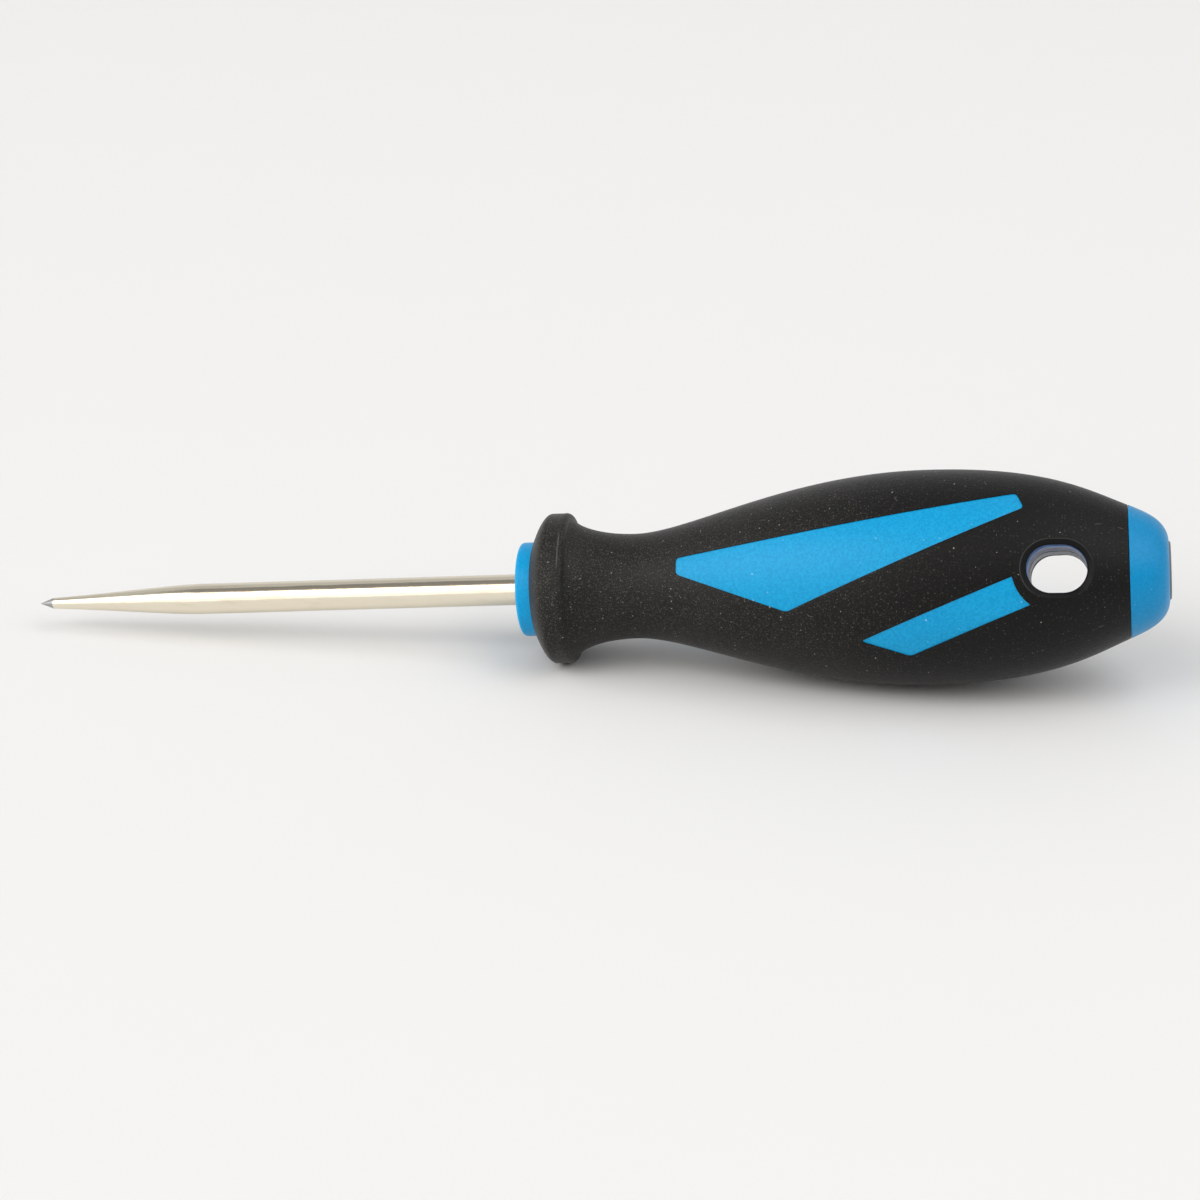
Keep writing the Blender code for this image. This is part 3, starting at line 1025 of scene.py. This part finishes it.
        # Salt and flecks thin out toward the butt. Part of this is dust lying thicker near the guard, and part is
        # painted shade on the rear of the grip. None of them lie on the bevel.
        salt_and_painted_light = near * 0.24 + front * 0.34 + face * 0.44 + 0.10
        colour = g.blend(salt.step(0.57, 0.71) * salt_and_painted_light * off_painted_bevel_shade, colour, self.fleck)
        colour = g.blend(fleck * grain.step(0.40, 0.56) * (near * 0.4 + 0.5) * off_painted_bevel_shade, colour, self.fleck)
        colour = g.blend((speck * 0.70 + lint * 0.18) * off_painted_bevel_shade, colour, self.dust)
        # Painted highlight lines on the bevel's outer edge and behind the guard's rim.
        flash_highlight_line = self.painted_flash_highlight(x, y, z)
        painted_highlight_lines = ring * cloud.step(0.38, 0.60) * 0.30 + flash_highlight_line * cloud.step(0.20, 0.55) * 0.6
        colour = g.blend(painted_highlight_lines, colour, self.line)
        g.finish({
            "Base Color": colour,
            "Roughness": 0.43 + coarse * 0.14,
            "Specular IOR Level": 0.18,
            "Sheen Weight": 0.14,
            "Sheen Roughness": 0.30,
            "Normal": g.bump(grain * 0.6 + coarse * 0.4, self.grain_depth),
        })
        return material


@dataclass(frozen=True)
class BlueMoulding:
    """Hard blue plastic with a fine spark-eroded grain."""

    name: str
    colour: Colour
    pale: Colour
    roughness: float = 0.37
    grain_depth: float = 0.00003
    dust: Colour = (0.75, 0.80, 0.84)

    def material(self) -> bpy.types.Material:
        """Build the finish.

        Returns:
            The material.
        """
        material, g = new_material(self.name)
        point = g.place()
        grain = g.noise(point, 2700.0, rough=0.6)
        fine = g.noise(point, 9000.0, detail=1.0)
        cloud = g.noise(point, 70.0, detail=3.0)
        speck = g.specks(g.unrolled(), 420.0, rarity=0.92, least=0.03, spread=0.04)
        colour = g.blend(cloud.step(0.3, 0.8) * 0.20 + grain.step(0.34, 0.66) * 0.80, self.colour, self.pale)
        colour = g.blend(speck * 0.22, colour, self.dust)
        g.finish({
            "Base Color": colour,
            "Roughness": self.roughness + fine * 0.08,
            "Specular IOR Level": 0.20,
            "Sheen Weight": 0.10,
            "Sheen Roughness": 0.36,
            "Normal": g.bump(grain, self.grain_depth),
        })
        return material


@dataclass(frozen=True)
class ClearWall:
    """Clear and pale plastic in the walls of the hole, with its layers along the hole; the far layers are painted
    paler, as painted light that shines through from the far mouth.
    """

    name: str
    stops: tuple[tuple[float, Colour], ...]
    roll: float
    reach: float = 0.0150
    waver: float = 0.0006
    streaked: Span = (-0.0094, 0.0115)
    streak: Colour = (0.74, 0.74, 0.77)
    drawn_depth: float = 0.00010

    def material(self) -> bpy.types.Material:
        """Build the finish.

        Returns:
            The material.
        """
        material, g = new_material(self.name)
        point = g.place(self.roll)
        _, y, _ = g.axes(point)
        drawn = g.noise(g.stretched(point, (1.0, 0.10, 1.0)), 2600.0, detail=3.0, rough=0.6)
        mottle = g.noise(point, 900.0)
        depth = (y + (mottle - 0.5) * self.waver + self.reach) / (2 * self.reach)
        layers = g.node("ShaderNodeValToRGB", {"stops": self.stops}, {"Fac": depth}, "Color")
        near, far = self.streaked
        streak = drawn.step(0.42, 0.66) * (y < far) * (y > near)
        colour = g.blend(streak * 0.50, layers, self.streak)
        g.finish({
            "Base Color": colour,
            "Roughness": 0.50 + mottle * 0.2,
            "Specular IOR Level": 0.10,
            "Normal": g.bump(drawn, self.drawn_depth),
        })
        return material


@dataclass(frozen=True)
class MattPlastic:
    """Plain matt moulding with a light grain."""

    name: str
    colour: Colour
    roughness: float = 0.5
    lighter: float = 1.25
    grain_depth: float = 0.00003

    def material(self) -> bpy.types.Material:
        """Build the finish.

        Returns:
            The material.
        """
        material, g = new_material(self.name)
        grain = g.noise(g.place(), 5200.0, rough=0.6)
        pale = tuple(min(1.0, part * self.lighter) for part in self.colour)
        g.finish({
            "Base Color": g.blend(grain.step(0.4, 0.7) * 0.5, self.colour, pale),
            "Roughness": self.roughness + grain * 0.1,
            "Normal": g.bump(grain, self.grain_depth),
        })
        return material


# The panels, collar and cap are one blue plastic. The cap's copy is painted darker as painted shade, and the
# collar's copy is painted lighter as painted light.
PANEL_BLUE = BlueMoulding("panel_blue", srgb(0, 141, 194), srgb(16, 158, 212))
COLLAR_BLUE_PAINTED_LIGHT = BlueMoulding("collar_blue_painted_light", srgb(0, 148, 208), srgb(8, 161, 222))
CAP_BLUE_PAINTED_SHADE = BlueMoulding("cap_blue_painted_shade", srgb(0, 128, 183), srgb(8, 140, 196), 0.36, 0.00002)
DISC_GREY = MattPlastic("disc_grey", srgb(112, 114, 118))


# Sub-assemblies


@dataclass
class Blade:
    """The round blade with its long taper and its ground point."""

    reach: float = 0.0800
    diameter: float = 0.0049
    point_length: float = 0.0023
    point_diameter: float = 0.0018
    taper_length: float = 0.0250
    taper: Handles = ((0.45, 0.36), (0.80, 1.0))
    tang: float = 0.0663
    tang_chamfer: float = 0.001
    tip_radius: float = 0.00006
    tip_lengths: Span = (0.00004, 0.0001)
    shoulder: Point2 = (0.00002, 0.00003)
    taper_steps: int = 60
    shank_steps: int = 40
    sides: int = 96

    def profile(self) -> list[Point2]:
        """Draw the blade from its point to the end of its tang.

        Returns:
            The profile's points as (station, radius).
        """
        foot = (self.point_length - self.reach, self.point_diameter / 2)
        full = (foot[0] + self.taper_length, self.diameter / 2)
        first, second = (-self.reach + length for length in self.tip_lengths)
        tip = [(-self.reach, 0.0), (first, self.tip_radius * 0.7), (second, self.tip_radius)]
        ground = [(second + (foot[0] - second) * t, self.tip_radius + (foot[1] - self.tip_radius) * t)
                  for t in (0.25, 0.5, 0.75, 0.93)]
        shoulder = (foot[0] - self.shoulder[0], foot[1] - self.shoulder[1])
        taper = swept(foot, full, self.taper, self.taper_steps)
        length = self.tang - full[0]
        shank = [(full[0] + length * n / self.shank_steps, full[1]) for n in range(1, self.shank_steps)]
        end = [(self.tang, full[1] - self.tang_chamfer), (self.tang, 0.0)]
        return [*tip, *ground, shoulder, *taper, *shank, *end]

    def build(self) -> Pieces:
        """Make the blade and put it on the model.

        Returns:
            The blade alone.
        """
        finish = NickelPlate().material()
        piece = spun("blade_bar", self.profile(), self.sides, finish, TOOL.matrix(), CRISP_ANGLE)
        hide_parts("blade")
        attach(piece, "root")
        return [piece]


@dataclass
class Collar:
    """The blue ring round the blade's root."""

    form: HandleForm
    bore: float = 0.00248
    length: float = 0.0056
    edge: float = 0.0006
    edge_shape: Handles = ((0.0, 0.55), (0.45, 1.0))
    edge_steps: int = 12
    flat: float = 0.0006
    lip: float = 0.00012
    sides: int = 128

    def build(self) -> Pieces:
        """Make the collar and put it on the model.

        Returns:
            The collar alone.
        """
        radius = self.form.collar_radius
        lip = self.lip
        profile = [
            (self.length, self.bore),
            (lip, self.bore),
            (lip * 0.3, self.bore + lip * 0.3),
            (0.0, self.bore + lip),
            (0.0, radius - self.edge - self.flat),
            *swept((0.0, radius - self.edge), (self.edge, radius), self.edge_shape, self.edge_steps),
            (self.form.collar_reach, radius),
            (self.length, radius),
            (self.length, self.bore),
        ]
        piece = spun("collar_ring", profile, self.sides, COLLAR_BLUE_PAINTED_LIGHT.material(), TOOL.matrix(), SOFT_ANGLE)
        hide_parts("front_collar")
        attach(piece, "root")
        return [piece]


@dataclass
class Core:
    """The clear bar in the middle of the handle, which shows in the hole."""

    form: HandleForm
    hole: HangingHole
    radius: float = 0.0068
    neck: float = 0.0046
    bore: float = 0.00248
    bottom: float = 0.0666
    front: float = 0.0059
    step: float = 0.0300
    flare: float = 0.0060
    end: float = 0.0900
    sides: int = 96

    def build(self) -> Pieces:
        """Make the core and put it on the model.

        Returns:
            The core alone.
        """
        profile = [
            (self.bottom, 0.0),
            (self.bottom, self.bore),
            (self.front, self.bore),
            (self.front, self.neck),
            (self.step, self.neck),
            (self.step + self.flare, self.radius),
            (self.end, self.radius),
            (self.end, 0.0),
        ]
        # The far part of the core's wall is painted paler than the near part: painted light shining through the
        # clear core. The dark band is the core's parting step.
        grey, line, pale = srgb(228, 228, 235), srgb(46, 52, 80), srgb(248, 248, 249)
        stops = ((0.0, grey), (0.30, grey), (0.55, srgb(236, 236, 242)), (0.572, line), (0.592, line),
                 (0.61, pale), (1.0, pale))
        finish = ClearWall("clear_core_plastic", stops, self.hole.roll)
        piece = pierced("core_bar", profile, self.sides, finish, self.hole)
        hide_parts("clear_core")
        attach(piece, "root")
        return [piece]


def slot_tool(hole: HangingHole, place: Matrix) -> bpy.types.Object:
    """Make a long bar with the outline of the hole.

    Args:
        hole: The hole.
        place: Matrix of the piece that it will cut.

    Returns:
        The bar, to be removed after use.
    """
    reach = 0.02
    surface = Surface()
    near, far = (
        surface.put([(station, side, across) for station, across in hole.outline()]) for side in (-reach, reach)
    )
    surface.strip(near, far)
    surface.faces.extend([tuple(near), tuple(reversed(far))])
    return surface.piece("slot_tool", bpy.data.materials.new("slot_tool"), place, CRISP_ANGLE)


def pierced(
    name: str, profile: Sequence[Point2], sides: int, finish: ClearWall, hole: HangingHole
) -> bpy.types.Object:
    """Spin a layer of the handle and cut the hole through it.

    Args:
        name: The object's name.
        profile: The layer's points as (station, radius).
        sides: Number of facets round it.
        finish: Its finish.
        hole: The hole.

    Returns:
        The linked object.
    """
    place = TOOL.rolled(hole.roll)
    piece = spun(name, profile, sides, finish.material(), place, CRISP_ANGLE)
    cut(piece, slot_tool(hole, place), CRISP_ANGLE)
    return piece


@dataclass
class Shell:
    """The hard shell under the skin, with its four raised panels."""

    form: HandleForm
    hole: HangingHole
    panels: PanelForm
    front: float = 0.0059
    flare_front: float = 0.0300
    flare_rear: float = 0.0360
    rear: float = 0.0900
    end: float = 0.0943
    end_gap: float = 0.0001
    gap: float = 0.00006
    neck_bore: float = 0.0047
    bore: float = 0.00685
    recess: float = 0.00018
    panel_root: float = 0.0024
    under_lip: float = 0.00010
    step: float = 0.0008
    rings: int = 48
    sides: int = 96

    def wall(self) -> bpy.types.Object:
        """Make the shell's tube with the hole through it.

        Returns:
            The tube.
        """
        radius = self.form.radius()
        depth = self.form.skin + self.gap
        stations = np.linspace(self.form.neck_station, self.form.cap_station - self.end_gap, self.rings)
        profile = [
            (self.rear, self.bore),
            (self.flare_rear, self.bore),
            (self.flare_front, self.neck_bore),
            (self.front, self.neck_bore),
            (self.front, radius(self.form.neck_station) - depth),
            *[(float(station), radius(float(station)) - depth) for station in stations],
            (self.end, self.bore),
            (self.rear, self.bore),
        ]
        # The near wall is the shell's own blue. The far wall is painted pale instead of blue, as painted light
        # shining through the blue plastic from behind.
        blue, grey, pale, line = srgb(46, 128, 200), srgb(226, 226, 234), srgb(246, 246, 248), srgb(24, 26, 34)
        stops = ((0.0, blue), (0.170, blue), (0.195, srgb(150, 180, 220)), (0.22, grey), (0.30, grey),
                 (0.72, pale), (0.84, pale), (0.853, line), (1.0, line))
        finish = ClearWall("shell_plastic", stops, self.hole.roll)
        return pierced("shell_tube", profile, self.sides, finish, self.hole)

    def panel(self, surface: Surface, outline: Sequence[Point2]) -> None:
        """Add one panel as a curved slab.

        Args:
            surface: Where to gather it.
            outline: Its outline as (station, across).
        """
        radius = self.form.radius()
        middle = self.form.belly_radius
        edge = widened(outline, self.under_lip)
        flat = [(station, middle * asin(across / radius(station))) for station, across in edge]
        points, faces = triangulated(flat, [], self.step)
        tops, roots = [], []
        for station, arc in points:
            angle = arc / middle
            for ring, depth in ((tops, self.recess), (roots, self.panel_root)):
                r = radius(station) - depth
                ring.append((station, -r * cos(angle), r * sin(angle)))
        top, root = surface.put(tops), surface.put(roots)
        surface.faces.extend(tuple(top[i] for i in face) for face in faces)
        surface.faces.extend(tuple(root[i] for i in reversed(face)) for face in faces)
        count = len(flat)
        surface.strip(top[:count], root[:count])

    def build(self) -> Pieces:
        """Make the shell and its panels and put them on the model.

        Returns:
            The tube and the panels.
        """
        surface = Surface()
        for outline in (self.panels.long(), self.panels.short()):
            self.panel(surface, outline)
        surface.copied(Side.FAR)
        place = TOOL.rolled(self.hole.roll)
        panels = surface.piece("shell_panels", PANEL_BLUE.material(), place, CRISP_ANGLE)
        pieces = [self.wall(), panels]
        for piece in pieces:
            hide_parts("body_shell")
            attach(piece, "root")
        return pieces


@dataclass
class Skin:
    """The soft black skin with its guard, its windows and the mouths of the hole."""

    form: HandleForm
    hole: HangingHole
    panels: PanelForm
    front: float = 0.0232
    rear: float = 0.0930
    half_sides: int = 72
    inner_rings: int = 6
    outer_rings: int = 7
    tail_rings: int = 5
    step: float = 0.0008
    lip: float = 0.00016
    lip_steps: int = 4
    rim: float = 0.0008
    rim_depth: float = 0.0008
    soft: float = 0.00010
    seat: float = 0.0059
    seat_gap: float = 0.00002
    tuck: float = 0.0003
    flash: float = 0.00004
    flash_reach: float = 0.00025
    radius: Callable[[float], float] = field(init=False)

    def __post_init__(self) -> None:
        """Prepare the outline."""
        self.radius = self.form.radius()

    def deep(self, station: float, across: float, depth: float, layer: float = 0.0) -> Point3:
        """Point under the skin, seen along the hole.

        Args:
            station: Its station.
            across: Its distance across.
            depth: How far it lies under the surface, along the hole.
            layer: How far that surface lies under the outside, square to the axis.

        Returns:
            The point.
        """
        return (station, depth - sqrt((self.radius(station) - layer) ** 2 - across ** 2), across)

    def unrolled(self, outline: Sequence[Point2], layer: float) -> list[Point2]:
        """Unroll an outline at the belly's radius.

        Args:
            outline: Its points as (station, across).
            layer: Depth of the layer that it lies on.

        Returns:
            Its points as (station, arc).
        """
        middle = self.form.belly_radius
        return [(station, middle * asin(across / (self.radius(station) - layer))) for station, across in outline]

    def window_rings(self, outline: Sequence[Point2]) -> list[list[Point3]]:
        """Draw a window from its rounded lip down to the inside of the skin.

        Args:
            outline: The window's outline as (station, across).

        Returns:
            Its rings.
        """
        rings = []
        for index in range(self.lip_steps + 1):
            angle = pi / 2 * index / self.lip_steps
            growth, depth = self.lip * (1 - sin(angle)), self.lip * (1 - cos(angle))
            rings.append([self.deep(*point, depth) for point in widened(outline, growth)])
        rings.append([self.deep(*point, 0.0, self.form.skin) for point in outline])
        return rings

    def mouth_rings(self) -> list[list[Point3]]:
        """Draw the hole's bevelled mouth from the outside of the skin to its inside.

        Returns:
            Its rings.
        """
        soft = self.soft
        shape = [
            (self.rim + soft, 0.0),
            (self.rim + soft * 0.4, soft * 0.15),
            (self.rim - soft * 0.2, soft * 0.75),
            (self.rim * 0.5, self.rim_depth * 0.5),
            (soft, self.rim_depth - soft),
            (soft * 0.3, self.rim_depth + soft * 0.3),
            (0.0, self.rim_depth + soft * 1.5),
        ]
        rings = [[self.deep(*point, depth) for point in self.hole.outline(growth)] for growth, depth in shape]
        rings.append([self.deep(*point, 0.0, self.form.skin) for point in self.hole.outline()])
        return rings

    def field_patch(self, surface: Surface, growths: Sequence[float], layer: float, step: float) -> None:
        """Add the side of the skin round its windows and the hole.

        Args:
            surface: Where to gather it.
            growths: How much wider the windows and the hole are where the patch ends.
            layer: Depth under the outside of the skin.
            step: Distance between its points.
        """
        middle = self.form.belly_radius
        half = middle * pi / 2
        arcs = np.linspace(-half, half, self.half_sides + 1)
        stations = np.linspace(self.front, self.rear, round((self.rear - self.front) / step) + 1)
        outer = [(self.front, arc) for arc in arcs]
        outer += [(station, half) for station in stations[1:-1]]
        outer += [(self.rear, arc) for arc in arcs[::-1]]
        outer += [(station, -half) for station in stations[-2:0:-1]]
        outer = [(float(a), float(b)) for a, b in outer]
        holes = [
            self.unrolled(widened(self.panels.long(), growths[0]), layer),
            self.unrolled(widened(self.panels.short(), growths[0]), layer),
            self.unrolled(self.hole.outline(growths[1]), layer),
        ]
        points, faces = triangulated(outer, holes, step)
        placed = []
        for station, arc in points:
            angle = arc / middle
            r = self.radius(station) - layer
            placed.append((station, -r * cos(angle), r * sin(angle)))
        numbers = surface.put(placed)
        surface.faces.extend(tuple(numbers[i] for i in face) for face in faces)

    def guard_profile(self) -> list[Point2]:
        """Draw the skin from the inside of the neck round the guard to the front of the grip.

        Returns:
            The profile's points as (station, radius).
        """
        inner = np.linspace(self.front, self.form.neck_station, self.inner_rings)
        skin = self.form.skin
        guard = []
        for station, radius in self.form.guard():
            ridge = max(0.0, 1 - abs(station - self.form.guard_rear) / self.flash_reach)
            guard.append((station, radius + self.flash * ridge))
        outside = np.linspace(self.form.neck_station, self.front, self.outer_rings)[1:]
        return [
            *[(float(station), self.radius(float(station)) - skin) for station in inner],
            (self.seat, self.form.neck_radius - skin),
            (self.seat, self.form.collar_radius + self.seat_gap),
            (self.form.collar_reach + self.tuck, self.form.collar_radius + self.seat_gap),
            *guard,
            *[(float(station), self.radius(float(station))) for station in outside],
        ]

    def tail_profile(self) -> list[Point2]:
        """Draw the skin from the rear of the grip over its parting edge to the inside.

        Returns:
            The profile's points as (station, radius).
        """
        end = self.form.cap_station
        soft = self.soft
        skin = self.form.skin
        stations = np.linspace(self.rear, end - soft, self.tail_rings)
        return [
            *[(float(station), self.radius(float(station))) for station in stations],
            (end - soft * 0.3, self.radius(end) - soft * 0.2),
            (end, self.radius(end) - soft),
            (end, self.radius(end) - skin),
            (self.rear, self.radius(self.rear) - skin),
        ]

    def build(self) -> Pieces:
        """Make the skin and put it on the model.

        Returns:
            The skin alone.
        """
        surface = Surface()
        self.field_patch(surface, (self.lip, self.rim + self.soft), 0.0, self.step)
        self.field_patch(surface, (0.0, 0.0), self.form.skin, self.step * 2)
        for outline in (self.panels.long(), self.panels.short()):
            surface.rings(self.window_rings(outline))
        surface.rings(self.mouth_rings())
        surface.copied(Side.FAR)
        surface.turn(self.guard_profile(), 2 * self.half_sides)
        surface.turn(self.tail_profile(), 2 * self.half_sides)
        finish = SoftSkin(self.hole, self.rim, self.form.guard_rear)
        piece = surface.piece("skin_sleeve", finish.material(), TOOL.rolled(self.hole.roll), SOFT_ANGLE)
        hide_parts("grip_sleeve")
        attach(piece, "root")
        return [piece]


@dataclass
class EndCap:
    """The blue cap with its rounded shoulder, and the grey disc in its face."""

    form: HandleForm
    spigot: float = 0.0056
    spigot_length: float = 0.0044
    disc_radius: float = 0.0045
    disc_gap: float = 0.00008
    pocket_depth: float = 0.0022
    proud: float = 0.0003
    face_edge: float = 0.00052
    shoulder_start: float = 0.50
    shoulder_end: Point2 = (0.92, 0.47)
    shoulder_steps: int = 40
    parting: float = 0.00004
    soft: float = 0.00008
    disc_lift: float = 0.0001
    disc_edge: Handles = ((0.55, 0.0), (1.0, 0.45))
    disc_edge_steps: int = 6
    sides: int = 144

    def cap(self) -> bpy.types.Object:
        """Make the cap.

        Returns:
            The cap.
        """
        start = (self.form.cap_station + self.parting, self.form.cap_radius - self.parting)
        face = (self.form.length, self.disc_radius + self.face_edge)
        length = face[0] - start[0]
        straight = self.shoulder_start * length
        first = (start[0] + straight, start[1] - self.form.cap_slope * straight)
        second = (start[0] + self.shoulder_end[0] * length, start[1] + self.shoulder_end[1] * (face[1] - start[1]))
        soft = self.soft
        pocket = self.disc_radius + self.disc_gap
        floor = self.form.length - self.pocket_depth
        profile = [
            (start[0] - self.spigot_length, 0.0),
            (start[0] - self.spigot_length, self.spigot),
            (start[0], self.spigot),
            (start[0], start[1] - soft),
            (start[0] + soft * 0.3, start[1] - soft * 0.3),
            *cubic((start[0] + soft, start[1]), first, second, face, self.shoulder_steps),
            (self.form.length, pocket + soft),
            (self.form.length - soft, pocket),
            (floor, pocket),
            (floor, 0.0),
        ]
        piece = spun("butt_cap", profile, self.sides, CAP_BLUE_PAINTED_SHADE.material(), TOOL.matrix(), SOFT_ANGLE)
        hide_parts("end_cap")
        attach(piece, "root")
        return piece

    def disc(self) -> bpy.types.Object:
        """Make the disc.

        Returns:
            The disc.
        """
        floor = self.form.length - self.pocket_depth + self.disc_lift
        top = self.form.length + self.proud
        corner = (self.form.length, self.disc_radius)
        profile = [
            (floor, 0.0),
            (floor, self.disc_radius),
            *swept(corner, (top, self.disc_radius - self.proud), self.disc_edge, self.disc_edge_steps),
            (top, self.disc_radius * 0.6),
            (top, 0.0),
        ]
        piece = spun("butt_plug", profile, self.sides, DISC_GREY.material(), TOOL.matrix(), SOFT_ANGLE)
        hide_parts("butt_disc")
        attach(piece, "root")
        return piece

    def build(self) -> Pieces:
        """Make both pieces and put them on the model."""
        return [self.cap(), self.disc()]


# Studio


@dataclass(frozen=True)
class Lamp:
    """A soft rectangular lamp that points at the awl."""

    name: str
    azimuth: float
    elevation: float
    distance: float
    width: float
    height: float
    watts: float
    colour: Colour = (1.0, 1.0, 1.0)
    aim: Point3 = (0.0, 0.0, 0.015)

    def build(self) -> None:
        """Hang the lamp."""
        lamp = bpy.data.lights.new(self.name, "AREA")
        lamp.shape = "RECTANGLE"
        lamp.size = self.width
        lamp.size_y = self.height
        lamp.energy = self.watts
        lamp.color = self.colour
        a, e = radians(self.azimuth), radians(self.elevation)
        away = Vector((sin(a) * cos(e), -cos(a) * cos(e), sin(e)))
        item = linked(self.name, lamp)
        item.location = Vector(self.aim) + away * self.distance
        item.rotation_euler = away.to_track_quat("Z", "Y").to_euler()


@dataclass(frozen=True)
class Studio:
    """Pale floor, soft lamps, world light and the camera at the picture's angle."""

    azimuth: float = radians(8.41)
    elevation: float = radians(22.46)
    roll: float = -0.0030
    target: Point3 = (0.0017546, 0.0, 0.0123519)
    distance: float = 0.47103
    drop: float = 0.0020236
    lens: float = 89.73
    floor_size: float = 8.0
    lamps: tuple[Lamp, ...] = (
        Lamp("left_softbox", azimuth=-50.0, elevation=40.0, distance=3.6, width=2.1, height=2.2, watts=32.0),
        Lamp("right_softbox", azimuth=52.0, elevation=40.0, distance=3.6, width=2.1, height=2.2, watts=27.0),
    )
    edges: tuple[Span, ...] = ((-3.2, -2.4), (-1.35, -1.05), (-0.56, -0.34), (0.22, 0.42), (1.0, 1.4))
    left: tuple[float, ...] = (1.5, 1.75, 1.85, 1.40, 0.60, 0.80)
    right: tuple[float, ...] = (0.04, 0.06, 0.45, 1.95, 0.50, 0.62)
    middle: Span = (-0.20, 0.02)
    horizon: Span = (0.0, 0.06)
    gap: float = 0.26
    gap_ends: tuple[Span, Span] = ((-0.62, -0.46), (0.24, 0.08))
    back_tone: Colour = (0.990, 0.995, 1.0)
    front_tone: Colour = (1.0, 0.978, 0.945)
    front_reach: Span = (0.15, -0.45)
    rim: Colour = (1.0, 0.80, 0.68)
    paper: tuple[Colour, Colour] = ((0.782, 0.783, 0.780), (0.797, 0.798, 0.795))

    def camera(self) -> None:
        """Place the camera."""
        camera = bpy.data.cameras.new("camera")
        camera.sensor_width = 36.0
        camera.lens = self.lens
        camera.clip_start = 0.01
        item = linked("camera", camera)
        a, e = self.azimuth, self.elevation
        right = Vector((cos(a), sin(a), 0.0))
        back = Vector((sin(a) * cos(e), -cos(a) * cos(e), sin(e)))
        up = back.cross(right)
        turn = Matrix((right, up, back)).transposed() @ Matrix.Rotation(self.roll, 3, "Z")
        place = Vector(self.target) + back * self.distance - up * self.drop
        item.matrix_world = Matrix.Translation(place) @ turn.to_4x4()
        bpy.context.scene.camera = item

    def floor(self) -> None:
        """Lay the floor."""
        material, g = new_material("floor_paper")
        fibres = g.noise(g.place(), 40.0, detail=3.0)
        shade = g.blend(fibres * 0.4, *self.paper)
        g.finish({"Base Color": shade, "Roughness": 0.75, "Specular IOR Level": 0.25})
        half = self.floor_size / 2
        mesh = bpy.data.meshes.new("floor")
        corners = [(-half, -half, 0.0), (half, -half, 0.0), (half, half, 0.0), (-half, half, 0.0)]
        mesh.from_pydata(corners, [], [(0, 1, 2, 3)])
        mesh.materials.append(material)
        linked("floor", mesh)

    def sky(self) -> None:
        """Light the world in bands along the blade, from the front horizon over the top to the back."""
        world = bpy.data.worlds.new("studio")
        world.use_nodes = True
        bpy.context.scene.world = world
        g = Graph(world.node_tree)
        way = g.node("ShaderNodeTexCoord", {}, {}, "Generated")
        x, y, z = g.axes(way)
        lean = y / z
        steps = [lean.step(*edge) for edge in self.edges]
        sides = []
        for levels in (self.left, self.right):
            light = levels[0]
            for step, before, level in zip(steps, levels, levels[1:]):
                light = light + step * (level - before)
            sides.append(light)
        right = x.step(*self.middle)
        light = sides[0] + right * (sides[1] - sides[0])
        start, end = self.gap_ends
        gap = steps[2] * (1.0 - steps[3]) * x.step(*start) * x.step(*end)
        light = (light + gap * (self.gap - light)) * (z.step(*self.horizon) * 0.5 + 0.5)
        rim = steps[2] * (1.0 - steps[2]) * x.step(*end) * 4.0
        tone = g.blend(y.step(*self.front_reach), self.back_tone, self.front_tone)
        tone = g.blend(rim, tone, self.rim)
        glow = g.node("ShaderNodeBackground", {}, {"Color": tone, "Strength": light})
        g.node("ShaderNodeOutputWorld", {}, {"Surface": glow}, None)

    def build(self) -> None:
        """Set up everything round the awl."""
        self.camera()
        self.floor()
        self.sky()
        for lamp in self.lamps:
            lamp.build()
        bpy.context.scene.view_settings.view_transform = "Standard"


def main() -> None:
    """Dress the awl and light it."""
    logging.basicConfig(level=logging.INFO, format="%(name)s: %(message)s")
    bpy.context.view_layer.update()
    form = HandleForm()
    hole = HangingHole()
    panels = PanelForm()
    builders = (
        Blade(),
        Collar(form),
        Core(form, hole),
        Shell(form, hole, panels),
        Skin(form, hole, panels),
        EndCap(form),
    )
    for builder in builders:
        for piece in builder.build():
            log.info("%s: %d faces", piece.name, len(piece.data.polygons))
    Studio().build()
    bpy.context.view_layer.update()


if __name__ == "__main__":
    main()
